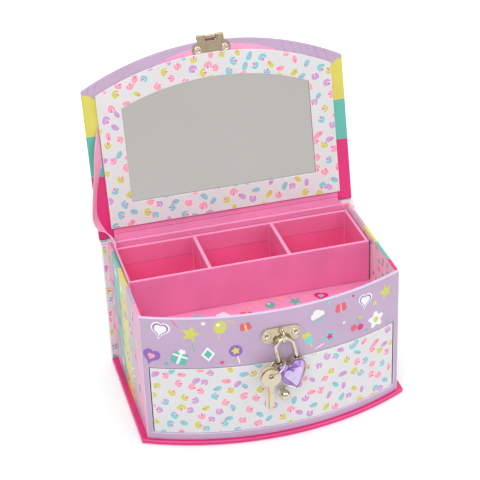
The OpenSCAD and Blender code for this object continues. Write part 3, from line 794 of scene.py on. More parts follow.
class Bench:
    """A mesh in millimetres on which one piece is made."""

    def __init__(self) -> None:
        """Clears the bench."""
        self.mesh = bmesh.new()

    def bow(self, outline: Outline, z: float, steps: int = 56) -> tuple[BMVert, BMVert, list[BMEdge]]:
        """Draws the bowed front of an outline.

        Args:
            outline: The outline.
            z: Its height.
            steps: The steps of the bow.

        Returns:
            Its left end, its right end and its edges.
        """
        half, middle = outline.width / 2, (0, outline.centre, z)
        before = set(self.mesh.edges)
        start = self.mesh.verts.new((-half, outline.front(half), z))
        reach = 2 * math.asin(half / outline.radius)
        spun = bmesh.ops.spin(self.mesh, geom=[start], cent=middle, axis=(0, 0, 1), angle=reach, steps=steps)
        end = next(v for v in spun["geom_last"] if isinstance(v, BMVert))
        return start, end, [e for e in self.mesh.edges if e not in before]

    def bowed_loop(self, outline: Outline, z: float, steps: int = 56) -> list[BMEdge]:
        """Draws a closed bowed outline.

        Args:
            outline: The outline.
            z: Its height.
            steps: The steps of the bow.

        Returns:
            Its edges.
        """
        start, end, edges = self.bow(outline, z, steps)
        left, right = [self.mesh.verts.new((side * outline.width / 2, outline.back, z)) for side in (-1, 1)]
        return edges + [self.mesh.edges.new(pair) for pair in ((end, right), (right, left), (left, start))]

    def thicken(self, faces: Iterable[BMFace], shift: Point) -> None:
        """Pulls faces out into a solid.

        Args:
            faces: The faces.
            shift: How far and which way.
        """
        pulled = bmesh.ops.extrude_face_region(self.mesh, geom=list(faces))
        moved = [v for v in pulled["geom"] if isinstance(v, BMVert)]
        bmesh.ops.translate(self.mesh, verts=moved, vec=shift)
        bmesh.ops.recalc_face_normals(self.mesh, faces=self.mesh.faces)

    def slab(self, outline: Outline, low: float, high: float, steps: int = 56) -> None:
        """Makes a bowed board between two heights."""
        made = bmesh.ops.edgeloop_fill(self.mesh, edges=self.bowed_loop(outline, low, steps))
        self.thicken(made["faces"], (0, 0, high - low))

    def block(self, low: Point, high: Point) -> None:
        """Makes a straight board from its lowest to its highest corner."""
        place = Matrix.Translation((Vector(low) + Vector(high)) / 2)
        bmesh.ops.create_cube(self.mesh, size=1.0, matrix=place @ Matrix.Diagonal((*(Vector(high) - Vector(low)), 1.0)))

    def cut(self, axis: int, places: Iterable[float]) -> None:
        """Cuts every face across an axis, keeping both sides.

        Args:
            axis: 0, 1 or 2.
            places: The places of the cuts along it.
        """
        normal = Vector((axis == 0, axis == 1, axis == 2))
        for place in places:
            geom = [*self.mesh.verts, *self.mesh.edges, *self.mesh.faces]
            bmesh.ops.bisect_plane(self.mesh, geom=geom, dist=1e-4, plane_co=normal * place, plane_no=normal)

    def soften(self, width: float, segments: int = 3, least: float = 40.0, rim: int | None = None) -> None:
        """Rounds the edges that are sharper than an angle.

        Args:
            width: The width of the rounding.
            segments: Its segments.
            least: The least angle, in degrees.
            rim: The material slot of the rounded edges' painted highlight, or nothing to keep their neighbours'.
        """
        low = math.radians(least)
        sharp = [e for e in self.mesh.edges if len(e.link_faces) == 2 and low < e.calc_face_angle()]
        rounding = {"offset": width, "offset_type": "OFFSET", "segments": segments, "clamp_overlap": True}
        made = bmesh.ops.bevel(self.mesh, geom=sharp, affect="EDGES", profile=0.5, material=-1, **rounding)
        # The rounded edges take a lighter paper: a painted highlight along them.
        if rim is not None:
            for face in made["faces"]:
                face.material_index = rim

    def move(self, change: Callable[[Vector], Vector]) -> None:
        """Gives every corner the new place that a rule makes of its old one."""
        for v in self.mesh.verts:
            v.co = change(v.co)

    def turn(self, matrix: Matrix) -> None:
        """Turns or shifts the whole piece."""
        bmesh.ops.transform(self.mesh, matrix=matrix, verts=self.mesh.verts)

    def fair(self) -> None:
        """Turns every face outwards."""
        bmesh.ops.recalc_face_normals(self.mesh, faces=self.mesh.faces)

    def lathe(self, profile: Sequence[Pair], axis: Matrix, steps: int = 48) -> None:
        """Turns a profile about an axis.

        Args:
            profile: Its radius and height at each point, from axis to axis or back to its start.
            axis: Places a piece turned about Z.
            steps: The steps round it.
        """
        before = set(self.mesh.verts)
        rows = [self.mesh.verts.new((r, 0, h)) for r, h in profile]
        geom = rows + [self.mesh.edges.new(pair) for pair in zip(rows, rows[1:])]
        full = {"cent": (0, 0, 0), "axis": (0, 0, 1), "angle": 2 * math.pi, "use_merge": True}
        bmesh.ops.spin(self.mesh, geom=geom, steps=steps, **full)
        bmesh.ops.remove_doubles(self.mesh, verts=self.mesh.verts, dist=1e-4)
        made = [v for v in self.mesh.verts if v not in before]
        self.fair()
        bmesh.ops.transform(self.mesh, matrix=axis, verts=made)

    def unroll(self, wrap: Wrap) -> None:
        """Lays the paper's own coordinates, in metres, on every face.

        Args:
            wrap: Gives a point's place on the paper from its place and its face's normal.
        """
        layer = self.mesh.loops.layers.uv.get(UV_NAME) or self.mesh.loops.layers.uv.new(UV_NAME)
        self.mesh.normal_update()
        for face in self.mesh.faces:
            for loop in face.loops:
                u, v = wrap(loop.vert.co, face.normal)
                loop[layer].uv = (u * MM, v * MM)

    def as_object(self, name: str, finishes: Iterable[Material]) -> bpy.types.Object:
        """Clears the bench into an object of the scene.

        Args:
            name: The object's name.
            finishes: Its materials.

        Returns:
            The object.
        """
        mesh = bpy.data.meshes.new(name)
        self.mesh.to_mesh(mesh)
        self.mesh.free()
        for finish in finishes:
            mesh.materials.append(finish)
        made = bpy.data.objects.new(name, mesh)
        bpy.context.scene.collection.objects.link(made)
        return made


def install(
    name: str,
    bench: Bench,
    finishes: Sequence[Material],
    body: str,
    slot: str,
    replaces: Sequence[str] = (),
    sharp: float = 38.0,
    even: bool = True,
) -> bpy.types.Object:
    """Turns what is on the bench into a finished piece.

    Args:
        name: The piece's name.
        bench: Its mesh, in millimetres.
        finishes: Its materials.
        body: The body it rides on, or an empty name for one that bends between two.
        slot: The record's material slot it stands for; not used.
        replaces: The CAD nodes it stands for.
        sharp: The angle in degrees beyond which an edge is shaded sharp.
        even: Whether broad faces rule the shading of their edges.

    Returns:
        The piece's object.
    """
    bench.turn(Matrix.Scale(MM, 4))
    piece = bench.as_object(name, finishes)
    piece.data.shade_smooth()
    piece.data.set_sharp_from_angle(angle=math.radians(sharp))
    if even:
        piece.modifiers.new("even_shading", "WEIGHTED_NORMAL").keep_sharp = True
    if body:
        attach(piece, body)
    if replaces:
        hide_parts(*replaces)
    count, stands = len(piece.data.polygons), ", ".join(replaces) or "nothing in the model"
    LOG.info("%s: %d faces, stands for %s", name, count, stands)
    return piece


def recover(
    node: str, suffix: str, finish: Material, body: str, slot: str, width: float, segments: int = 3, least: float = 40.0
) -> None:
    """Stands a softened copy of a CAD node in its place.

    Args:
        node: The node.
        suffix: What the piece's name adds to the node's.
        finish: Its material.
        body: The body it rides on.
        slot: Its material slot.
        width: The width of its rounded edges, 0 for none.
        segments: Their segments.
        least: The least angle that is rounded, in degrees.
    """
    bench, model = Bench(), FRAME["nodes"][node]
    bench.mesh.from_mesh(model.data)
    bench.turn(Matrix.Scale(1 / MM, 4) @ model.matrix_world)
    bmesh.ops.remove_doubles(bench.mesh, verts=bench.mesh.verts, dist=0.002)
    flat = math.radians(0.6)
    bmesh.ops.dissolve_limit(bench.mesh, angle_limit=flat, verts=bench.mesh.verts, edges=bench.mesh.edges)
    if width:
        bench.soften(width, segments, least)
    bench.unroll(flat_wrap)
    install(node + suffix, bench, [finish], body, slot, [node])


def dress(finishes: dict[str, Material]) -> None:
    """Gives CAD nodes that stay in the picture their materials.

    Args:
        finishes: The material of each node.
    """
    for node, finish in finishes.items():
        for place in FRAME["nodes"][node].material_slots:
            place.material = finish
        LOG.info("%s keeps its shape and takes %s", node, finish.name)


def built(*finishes: Finish) -> list[Material]:
    """The materials of a piece's slots."""
    return [finish.build() for finish in finishes]


class Finishes:
    """Every material of the box, made once; a list holds a board's paper and then the painted highlight of its rounded
    edges.
    """

    def __init__(self) -> None:
        """Makes them."""
        pink, teal, yellow, lavender = Ink.HOT_PINK, Ink.TEAL, Ink.YELLOW, Ink.LAVENDER
        wall = {"ink": Ink.WHITE, "gloss": 0.36, "coat": 0.25, "edges": (-36.2, -10.2, 15.3, 40.0)}
        left = (Ink.PALE_PINK, lavender, yellow, teal, Ink.ROSE_RIM)
        right = (pink, teal, yellow, lavender, Ink.ROSE_RIM)
        lid = {"ink": Ink.WHITE, "gloss": 0.36, "coat": 0.25, "edges": (48.3, 79.3, 110.5), "unroll": True}
        # The hinge lining's lines: dark inks paint shade in its creases and grooves, light ones paint highlights on its
        # ridges.
        folds = ((0.5, 0.5, Ink.CREASE), (4.3, 0.16, Ink.SEAM), (7.6, 0.3, Ink.ROSE_RIM), (9.6, 0.25, Ink.CREASE))
        folds += ((12.4, 0.35, Ink.ROSE_RIM), (14.2, 0.3, Ink.CREASE), (16.4, 0.5, Ink.ROSE_RIM))
        # Each board's last material is a lighter paper for its rounded edges: a painted highlight.
        self.hot_pink = built(
            Paper("hot_pink_cover", pink), Paper("hot_pink_edge_highlight", Ink.PINK_EDGE, 0.38, 0.25, 0.1)
        )
        self.print = built(
            SpotPrint("spotted_print", Ink.GROUND, 0.34, 0.3, 0.02),
            Paper("print_edge_highlight", Ink.EDGE_WHITE, 0.42, 0.2, 0.06),
        )
        # A dark material that paints shade where parts leave a gap or a hollow.
        self.shadow = Paper("painted_shadow_dark", Ink.SOOT, 0.9, 0.0).build()
        self.front = [
            RimHighlightPaper("lavender_front", lavender, 0.34, 0.3, 0.04, Ink.RIM_LILAC, 106.6).build(),
            self.shadow,
            Paper("lavender_edge_highlight", Ink.RIM_LILAC, 0.38, 0.25, 0.06).build(),
        ]
        self.tray = built(
            RimHighlightPaper("rose_tray_paper", Ink.ROSE, 0.4, 0.2, 0.08),
            SeamedPaper("rose_tray_inside", Ink.DULL_ROSE, 0.42, 0.12, 0.04),
            Paper("rose_tray_edge_highlight", Ink.TRAY_EDGE, 0.34, 0.35, 0.08),
        )
        self.walls = {
            "left_wall": BandedPaper("left_wall_bands", **wall, inks=left, lining=Ink.BLUSH).build(),
            "right_wall": BandedPaper("right_wall_bands", **wall, inks=right, lining=Ink.BLUSH).build(),
        }
        self.lid = built(BandedPaper("lid_bands", **lid, inks=(pink, teal, yellow, lavender)))
        self.pleated = built(PleatedPaper("pleated_lavender", lavender))
        self.patch = built(Paper("pink_patch_paper", Ink.ROSE_RIM, 0.42, 0.15))
        self.hinge = built(CreasedPaper("creased_lining", Ink.HINGE_PINK, 0.36, 0.3, 0.06, folds))
        self.pale_pink = Paper("pale_pink_paper", Ink.PALE_PINK, 0.36, 0.25).build()
        self.confetti = Confetti("dotted_lining", Ink.PALE_PINK, 0.36, 0.25).build()
        self.board = Greyboard("bare_greyboard").build()
        self.satin = built(Satin("pink_satin"))
        self.mirror = built(MirrorGlass("silvered_glass"))
        self.nickel = Metal("nickel_plate").build()
        self.nickel_dull = Metal("handled_nickel", "CFC4AB", 0.28).build()
        self.hasp_nickel = Metal("hasp_nickel", "B5A48B", 0.2).build()
        self.latch_nickel = Metal("latch_nickel", "DACBB0", 0.17).build()
        # A lighter plating for the latch plate's raised rim: a painted highlight.
        self.rim_highlight_nickel = Metal("latch_rim_highlight", "F2E9D6", 0.09).build()
        self.key_nickel = Metal("key_nickel", "EDE0C8", 0.34).build()
        # Lit and shaded copies of the gem's plastic: a pale one for the table and a darker one for facets turned up and
        # to the left, painted shade.
        self.gem = built(
            Gem("gem_table", "CDB3E6", "DCC8EE"),
            Gem("gem_lit_facet", "A880D2", "C6A5E6"),
            Gem("gem_shaded_facet", "7A4BAE", "9A6CC8"),
        )
        self.inks = built(*(Paper("motif_" + ink.name.lower(), ink, 0.34, 0.3, 0.03) for ink in MOTIF_INKS))


def heart_radius(angle: float) -> float:
    """The radius of a heart's outline, its tip down, by its angle from the right, anticlockwise."""
    lift = math.sin(angle)
    return (2 - 2 * lift + lift * math.sqrt(abs(math.cos(angle))) / (lift + 1.4)) / 2.8


class Shape(Enum):
    """The printed shapes, as the number of their corners and their radius by its angle."""

    DOT = (24, lambda a: 1.0)
    STAR = (10, lambda a: 1.0 if round((a - math.pi / 2) / (math.pi / 5)) % 2 == 0 else 0.45)
    FLOWER = (50, lambda a: 0.8 + 0.2 * math.cos(5 * a - math.pi / 2))
    HEART = (40, heart_radius)
    DROP = (32, lambda a: 0.62 + 0.38 * max(0.0, math.sin(a)) ** 6)
    DIAMOND = (4, lambda a: 1.0)
    BAR = (40, lambda a: (abs(math.cos(a)) ** 6 + abs(math.sin(a)) ** 6) ** (-1 / 6))

    def __init__(self, corners: int, radius: Callable[[float], float]) -> None:
        """Keeps the shape's form."""
        self.corners, self.radius = corners, radius


class Tint(Enum):
    """The inks that a motif draws its two colours from."""

    BRIGHT = (Ink.HOT_PINK, Ink.TEAL, Ink.LIME, Ink.PURPLE, Ink.CORAL)
    SOFT = (Ink.SALMON, Ink.AQUA, Ink.WHITE, Ink.YELLOW)


@dataclass(frozen=True)
class Mark:
    """One printed shape.

    Attributes:
        shape: Its form.
        ink: Its ink, or the tint it is drawn from.
        u: Its place across.
        v: Its place up.
        size: Its radius.
        turn: Its turn, in degrees.
        narrow: Its width against its height.
        layer: How many inks lie under it.
    """

    shape: Shape
    ink: Ink | Tint
    u: float
    v: float
    size: float
    turn: float = 0.0
    narrow: float = 1.0
    layer: int = 0


# Each motif's shapes from the lowest ink to the uppermost, round its middle and with a radius of about 1.
MOTIFS = (
    (
        Mark(Shape.HEART, Ink.WHITE, 0, 0, 1.12),
        Mark(Shape.HEART, Ink.PURPLE, 0, 0, 0.92),
        Mark(Shape.HEART, Ink.WHITE, 0, 0, 0.74),
    ),
    (Mark(Shape.HEART, Tint.BRIGHT, 0, 0, 1.05), Mark(Shape.HEART, Tint.SOFT, 0, 0.05, 0.45)),
    (Mark(Shape.FLOWER, Tint.SOFT, 0, 0, 1.0), Mark(Shape.DOT, Tint.BRIGHT, 0, 0, 0.32)),
    (Mark(Shape.STAR, Tint.BRIGHT, 0, 0, 1.0),),
    (Mark(Shape.STAR, Tint.SOFT, 0, 0, 1.0), Mark(Shape.STAR, Tint.BRIGHT, 0, 0, 0.52)),
    (
        Mark(Shape.BAR, Ink.WHITE, 0, -0.75, 0.5, 0, 0.12),
        Mark(Shape.DOT, Tint.BRIGHT, 0, 0.3, 0.66),
        Mark(Shape.FLOWER, Tint.SOFT, 0, 0.3, 0.42),
    ),
    (
        Mark(Shape.HEART, Tint.BRIGHT, 0.15, 0.1, 0.62, -80),
        Mark(Shape.HEART, Tint.BRIGHT, -0.15, 0.1, 0.62, 80),
        Mark(Shape.DOT, Tint.SOFT, 0, 0, 0.6, 0, 0.2),
    ),
    (
        Mark(Shape.BAR, Ink.YELLOW, 0, -0.72, 0.34, 0, 0.3),
        Mark(Shape.BAR, Tint.SOFT, 0, 0.12, 0.74, 0, 0.66),
        Mark(Shape.BAR, Tint.BRIGHT, 0, 0.55, 0.32, 0, 1.45),
    ),
    (
        Mark(Shape.BAR, Tint.BRIGHT, 0, -0.2, 0.62, 0, 1.15),
        Mark(Shape.BAR, Tint.SOFT, 0, -0.2, 0.62, 0, 0.2),
        Mark(Shape.BAR, Tint.SOFT, 0, 0.02, 0.1, 0, 7.0),
        Mark(Shape.HEART, Tint.SOFT, 0.08, 0.5, 0.28, -65),
        Mark(Shape.HEART, Tint.SOFT, -0.08, 0.5, 0.28, 65),
    ),
    (
        Mark(Shape.BAR, Ink.TEAL, -0.2, 0.2, 0.52, -24, 0.07),
        Mark(Shape.BAR, Ink.TEAL, 0.22, 0.15, 0.55, 20, 0.07),
        Mark(Shape.DROP, Ink.LIME, 0.3, 0.72, 0.36, -75, 0.8),
        Mark(Shape.DOT, Ink.CORAL, -0.42, -0.35, 0.38),
        Mark(Shape.DOT, Ink.HOT_PINK, 0.42, -0.45, 0.38),
    ),
    (
        Mark(Shape.DOT, Ink.WHITE, -0.42, 0.1, 0.38),
        Mark(Shape.DOT, Ink.WHITE, 0.05, 0.3, 0.5),
        Mark(Shape.DOT, Ink.WHITE, 0.5, 0.1, 0.34),
        Mark(Shape.BAR, Ink.WHITE, 0.02, -0.05, 0.22, 0, 3.6),
        Mark(Shape.DROP, Ink.AQUA, -0.4, -0.65, 0.24),
        Mark(Shape.DROP, Ink.AQUA, 0.05, -0.75, 0.24),
        Mark(Shape.DROP, Ink.AQUA, 0.5, -0.65, 0.24),
    ),
    (
        Mark(Shape.BAR, Tint.SOFT, 0, -0.7, 0.45, 0, 0.08),
        Mark(Shape.DOT, Tint.BRIGHT, 0, 0.35, 0.66, 0, 0.86),
        Mark(Shape.DOT, Ink.WHITE, -0.2, 0.58, 0.16),
    ),
    (Mark(Shape.DIAMOND, Tint.SOFT, 0, 0, 0.95, 0, 0.8), Mark(Shape.DIAMOND, Tint.BRIGHT, 0, 0, 0.58, 0, 0.8)),
)


class MotifArtist:
    """Lays printed motifs on the box, each a thin skin of ink that follows the surface.

    Every layout is this part's own, drawn from a fixed seed.
    """

    film = 0.03
    heart_lift = 0.55
    filler_inks = (Ink.YELLOW, Ink.TEAL, Ink.CORAL, Ink.WHITE, Ink.HOT_PINK, Ink.AQUA)
    fillers = ((Shape.STAR, 2.2, 1.0), (Shape.DOT, 1.1, 1.0), (Shape.DOT, 4.2, 0.09), (Shape.HEART, 2.2, 1.0))

    def __init__(self, seed: int) -> None:
        """Starts with a fixed seed."""
        self.chance, self.deck = random.Random(seed), []

    def motif(self, u: float, v: float, size: float) -> list[Mark]:
        """Composes one motif of several shapes.

        Args:
            u: Its place across.
            v: Its place up.
            size: Its radius.

        Returns:
            Its marks.
        """
        if not self.deck:
            self.deck = list(range(len(MOTIFS)))
            self.chance.shuffle(self.deck)
        drawing = MOTIFS[self.deck.pop()]
        turn = self.chance.uniform(-24, 24)
        inks = {tint: self.chance.choice(tint.value) for tint in Tint}
        lean = Matrix.Rotation(math.radians(turn), 2)
        marks = []
        for layer, m in enumerate(drawing):
            at = Vector((u, v)) + lean @ Vector((m.u, m.v)) * size
            ink = inks.get(m.ink, m.ink)
            marks.append(Mark(m.shape, ink, at.x, at.y, size * m.size, turn + m.turn, m.narrow, layer))
        return marks

    def filler(self, u: float, v: float) -> Mark:
        """Draws a small shape between the motifs.

        Args:
            u: Its place across.
            v: Its place up.

        Returns:
            The mark.
        """
        ink = self.chance.choice(self.filler_inks)
        turn = self.chance.uniform(-80, 80)
        shape, size, narrow = self.chance.choice(self.fillers)
        return Mark(shape, ink, u, v, size, turn, narrow)

    def field(
        self, across: Pair, up: Pair, pitch: float, size: float, clear: Callable[[float, float], bool]
    ) -> list[Mark]:
        """Fills a field with motifs in staggered rows, and fillers between them.

        Args:
            across: The field's ends across.
            up: Its ends up.
            pitch: The distance between motifs.
            size: A motif's radius.
            clear: Says whether a place is free to print on.

        Returns:
            The marks.
        """
        marks: list[Mark] = []
        rows = max(1, round((up[1] - up[0]) / pitch))
        step = (up[1] - up[0]) / rows
        for row in range(rows):
            v = up[0] + (row + 0.5) * step
            u = across[0] + pitch * (0.5 if row % 2 else 0.1) + size * 0.4
            while u < across[1] - size:
                at = (u + self.chance.uniform(-0.12, 0.12) * pitch, v + self.chance.uniform(-0.1, 0.1) * step)
                if clear(*at):
                    marks += self.motif(*at, size * self.chance.uniform(0.82, 1.08))
                between = (u + pitch / 2, v + self.chance.choice((-0.34, 0.34)) * step)
                if clear(*between) and between[0] < across[1] - 3:
                    marks.append(self.filler(*between))
                u += pitch
        return marks

    def print(self, name: str, marks: Sequence[Mark], surface: Surface, inks: Sequence[Material], body: str) -> None:
        """Lays marks on a surface.

        Args:
            name: The piece's name.
            marks: The marks.
            surface: Gives the place of a point across, up and proud of the surface.
            inks: The inks' materials.
            body: The body the print rides on.
        """
        bench = Bench()
        for mark in marks:
            form = {"cap_ends": True, "cap_tris": True, "segments": mark.shape.corners, "radius": 1.0}
            made = bmesh.ops.create_circle(bench.mesh, **form)["verts"]
            lean = Matrix.Rotation(math.radians(mark.turn), 2)
            for v in made:
                angle = math.atan2(v.co.y, v.co.x)
                reach = mark.shape.radius(angle) if v.co.length > 0.5 else v.co.length
                flat = Vector((reach * math.cos(angle) * mark.narrow, reach * math.sin(angle))) * mark.size
                if mark.shape is Shape.HEART:
                    flat.y += self.heart_lift * mark.size
                flat = lean @ flat
                v.co = surface(mark.u + flat.x, mark.v + flat.y, self.film * (1 + mark.layer))
            for face in {f for v in made for f in v.link_faces}:
                face.material_index = MOTIF_INKS.index(mark.ink)
        install(name, bench, inks, body, "print_paper", even=False)


@dataclass
class CoverBoards:
    """The base, the spine and the lid: boards wrapped in printed paper.

    Attributes:
        finishes: The materials.
        base: The base board's outline.
        base_t: Its thickness.
        spine_front: Y of the spine's front face.
        spine_t: The spine's thickness.
        spine_top: Its height.
        lid: The closed lid's outline.
        lid_z: The closed lid's inner face.
        lid_t: The lid's thickness.
        hinge: Y and Z of the hinge line.
        open_angle: The lid's opening in the resting pose, in degrees.
        panel: The mirror frame's outline.
        panel_t: Its thickness.
        border: The width of the frame's border.
        film: The thickness of the glue behind a board.
        fold: The thickness of a turned-in margin.
        mitres: By side, how far forward the mitre of the margin reaches at its outer and its inner edge.
        margin: The turned-in margin's outer X, and its width.
        mitre_x: The inner X that the mitre's slope is measured at.
    """

    finishes: Finishes
    base: Outline = Outline(200.0, 54.3, 138.418, 217.118)
    base_t: float = 3.4
    spine_front: float = 54.35
    spine_t: float = 2.4
    spine_top: float = 104.5
    lid: Outline = Outline(200.0, 57.8, 136.818, 217.118)
    lid_z: float = 107.1
    lid_t: float = 2.4
    hinge: Pair = (59.15, 104.7)
    open_angle: float = 102.0
    panel: Outline = Outline(180.0, 50.1, 136.818, 208.718)
    panel_t: float = 2.4
    border: float = 18.0
    film: float = 0.01
    fold: float = 0.12
    mitres: tuple[tuple[int, float, float], ...] = ((-1, 110.2, 103.4), (1, 110.9, 107.6))
    margin: Pair = (99.6, 14.0)
    mitre_x: float = 90.5

    def opened(self) -> Matrix:
        """The turn that takes the closed lid's parts to the open resting pose.

        Returns:
            The turn.
        """
        line = Vector((0, *self.hinge))
        turn = Matrix.Rotation(-math.radians(self.open_angle), 4, "X")
        return Matrix.Translation(line) @ turn @ Matrix.Translation(-line)

    def lid_wrap(self, point: Vector, _: Vector) -> Pair:
        """Paper on the lid: across it, and from its back edge forwards."""
        return point.x, self.lid.back - point.y

    def install_on_lid(
        self, name: str, bench: Bench, finishes: Sequence[Material], slot: str, replaces: Sequence[str] = ()
    ) -> None:
        """Papers a piece made on the closed lid, and opens it with the lid.

        Args:
            name: The piece's name.
            bench: Its mesh.
            finishes: Its materials.
            slot: Its material slot.
            replaces: The CAD nodes it stands for.
        """
        bench.unroll(self.lid_wrap)
        bench.turn(self.opened())
        install(name, bench, finishes, "lid", slot, replaces)

    def build(self) -> None:
        """Makes the boards."""
        bench = Bench()
        bench.slab(self.base, 0, self.base_t)
        bench.soften(0.9, rim=1)
        bench.unroll(flat_wrap)
        install("base_cover", bench, self.finishes.hot_pink, "box", "hot_pink_paper", ["base_board"])
        bench = Bench()
        half = self.base.width / 2
        bench.block((-half, self.spine_front, 0), (half, self.spine_front + self.spine_t, self.spine_top))
        bench.soften(0.8, rim=1)
        bench.unroll(flat_wrap)
        install("spine_cover", bench, self.finishes.print, "box", "print_paper", ["spine_board"])
        self.build_lid()
        self.build_turn_ins()
        self.build_patch()
        self.build_mirror_frame()

    def build_lid(self) -> None:
        """Makes the lid and prints its outer face."""
        bench = Bench()
        bench.slab(self.lid, self.lid_z, self.lid_z + self.lid_t)
        bench.soften(0.8)
        self.install_on_lid("lid_cover", bench, self.finishes.lid, "lavender_paper", ["lid_board"])
        artist, opened, face = MotifArtist(23), self.opened(), self.lid_z + self.lid_t

        def on_lid(u: float, v: float, proud: float) -> Point:
            """A point on the open lid's outer face, seen from outside."""
            return opened @ Vector((-u, self.lid.back - v, face + proud))

        marks = artist.field((-93, 95), (13, 134), 22.0, 7.6, lambda u, v: self.lid.back - v > self.lid.front(u) + 10)
        artist.print("lid_motifs", marks, on_lid, self.finishes.inks, "lid")

    def build_turn_ins(self) -> None:
        """Makes the cover paper's folded-in margins."""
        edge, width = self.margin
        inner = edge - width
        for side, outer_v, inner_v in self.mitres:
            slope = (outer_v - inner_v) / (edge - self.mitre_x)
            corner_v = inner_v - slope * (self.mitre_x - inner)
            places = [(edge - 0.3, 1.0), (inner, 1.0), (inner, corner_v), (edge - 0.3, outer_v)]
            bench = Bench()
            corners = [bench.mesh.verts.new((side * u, self.lid.back - v, self.lid_z)) for u, v in places]
            bench.thicken([bench.mesh.faces.new(corners)], (0, 0, -self.fold))
            name = "lid_turn_in_" + ("left" if side < 0 else "right")
            self.install_on_lid(name, bench, self.finishes.lid, "stripe_paper")
        bench, edges = Bench(), []
        for width, inset in ((198.6, 0.7), (176.0, 13.0)):
            bow = Outline(width, self.lid.back, self.lid.centre, self.lid.radius - inset)
            edges += bench.bow(bow, self.lid_z)[2]
        made = bmesh.ops.bridge_loops(bench.mesh, edges=edges)
        bench.thicken(made["faces"], (0, 0, -self.fold * 0.8))
        self.install_on_lid("lid_turn_in_front", bench, self.finishes.pleated, "lavender_paper")

    def build_patch(self) -> None:
        """Makes the arched pink patch behind the hasp's rivets."""
        half, tip_v, crest_v, depth, shift = 47.0, 124.6, 135.0, 8.0, 2.0
        rise = crest_v - tip_v
        radius = (half * half + rise * rise) / (2 * rise)
        arch = Outline(2 * half, self.lid.back - tip_v + depth, self.lid.back - crest_v + radius, radius)
        bench = Bench()
        level = self.lid_z - self.fold
        bench.slab(arch, level, level - 0.08, 32)
        bench.turn(Matrix.Translation((shift, 0, 0)))
        self.install_on_lid("hasp_patch", bench, self.finishes.patch, "pale_pink_paper")

    def build_mirror_frame(self) -> None:
        """Makes the printed frame and the mirror in it."""
        bench, back = Bench(), self.lid_z - self.film
        low = self.lid_z - self.panel_t
        window = self.panel.inset(self.border)
        edges = bench.bowed_loop(self.panel, low) + bench.bowed_loop(window, low)
        made = bmesh.ops.bridge_loops(bench.mesh, edges=edges)
        bench.thicken(made["faces"], (0, 0, back - low))
        bench.soften(0.35, rim=1)
        self.install_on_lid("mirror_frame_cover", bench, self.finishes.print, "print_paper", ["mirror_frame"])
        bench = Bench()
        bench.slab(window.inset(0.15), back - 1.2, back)
        bench.soften(0.15, 2)
        bench.turn(self.opened())
        install("mirror_glass", bench, self.finishes.mirror, "lid", "mirror_glass", ["mirror"])


@dataclass
class HingePapers:
    """The printed paper over the hinge outside and the pink strip over it inside.

    Attributes:
        finishes: The materials.
        boards: The boards they join.
        thick: Their thickness.
        stand: How far the outer paper's middle stands off the boards.
        inner_width: The inner strip's width.
    """

    finishes: Finishes
    boards: CoverBoards
    thick: float = 0.3
    stand: float = 0.25
    inner_width: float = 176.8

    def lid_point(self, v: float, w: float) -> Pair:
        """Y and Z of a point v from the open lid's back edge and w out of its inner face."""
        place = self.boards.opened() @ Vector((0, self.boards.lid.back - v, self.boards.lid_z + w))
        return place.y, place.z

    @staticmethod
    def smooth(points: Sequence[Pair], times: int = 2) -> list[Vector]:
        """Rounds a line's corners by cutting them.

        Args:
            points: The line's points.
            times: How often.

        Returns:
            The rounder line, with the same ends.
        """
        line = [Vector(p) for p in points]
        for _ in range(times):
            cut = [line[0]]
            for a, b in zip(line, line[1:]):
                cut += [a.lerp(b, 0.25), a.lerp(b, 0.75)]
            line = cut + [line[-1]]
        return line

    def strip(self, points: Sequence[Pair], width: float) -> tuple[Bench, float]:
        """Lays a strip of paper along a line in the Y-Z plane.

        Args:
            points: The line of its middle.
            width: Its width along X.

        Returns:
            The bench with the strip, and the strip's length.
        """
        bench, line, run, lengths = Bench(), self.smooth(points), 0.0, {}
        rows = [bench.mesh.verts.new((-width / 2, *p)) for p in line]
        edges = [bench.mesh.edges.new(pair) for pair in zip(rows, rows[1:])]
        for here, ahead in zip(line, [*line[1:], line[-1]]):
            lengths[(round(here.x, 3), round(here.y, 3))] = run
            run += (ahead - here).length
        pulled = bmesh.ops.extrude_edge_only(bench.mesh, edges=edges)
        side = [v for v in pulled["geom"] if isinstance(v, BMVert)]
        bmesh.ops.translate(bench.mesh, verts=side, vec=(width, 0, 0))
        bench.unroll(lambda p, _: (p.x, lengths[(round(p.y, 3), round(p.z, 3))]))
        across = [e for e in bench.mesh.edges if abs(e.verts[0].co.x - e.verts[1].co.x) > width / 2]
        bmesh.ops.subdivide_edges(bench.mesh, edges=across, cuts=7)
        bench.fair()
        bmesh.ops.solidify(bench.mesh, geom=bench.mesh.faces[:], thickness=self.thick)
        bench.fair()
        return bench, run

    def build(self) -> None:
        """Makes both papers."""
        b, point = self.boards, self.lid_point
        hinge_y, hinge_z = b.hinge
        spine_face = b.spine_front + b.spine_t + self.stand
        lid_face = b.lid_t + self.stand
        outside = [(spine_face, hinge_z - 10), (spine_face, hinge_z - 2.4), (spine_face + 0.9, hinge_z - 1.0)]
        outside += [(spine_face + 2.8, hinge_z - 0.5), point(-0.5, b.lid_t + 0.1), point(0.4, lid_face)]
        outside += [point(10, lid_face)]
        inside = [point(7.3, -0.25), point(1.0, -0.3), point(-0.3, -0.9), (58.9, 106.7), (56.5, 106.1)]
        inside += [(54.9, 107.0), (52.3, 107.05), (51.65, 106.9), (51.6, 106.0), (51.6, 92.8)]
        outer, inner = ["hinge_paper"], ["hinge_lining"]
        bench, run = self.strip(outside, b.base.width - 0.4)
        name = "outer_hinge_paper"
        paper = install(name, bench, self.finishes.print[:1], "", "print_paper", outer, even=False)
        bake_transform(paper)
        LOG.info("%s runs %.1f mm", name, run)
        bench, run = self.strip(inside, self.inner_width)
        name = "inner_hinge_paper"
        paper = install(name, bench, self.finishes.hinge, "", "pale_pink_paper", inner, even=False)
        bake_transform(paper)
        LOG.info("%s runs %.1f mm", name, run)


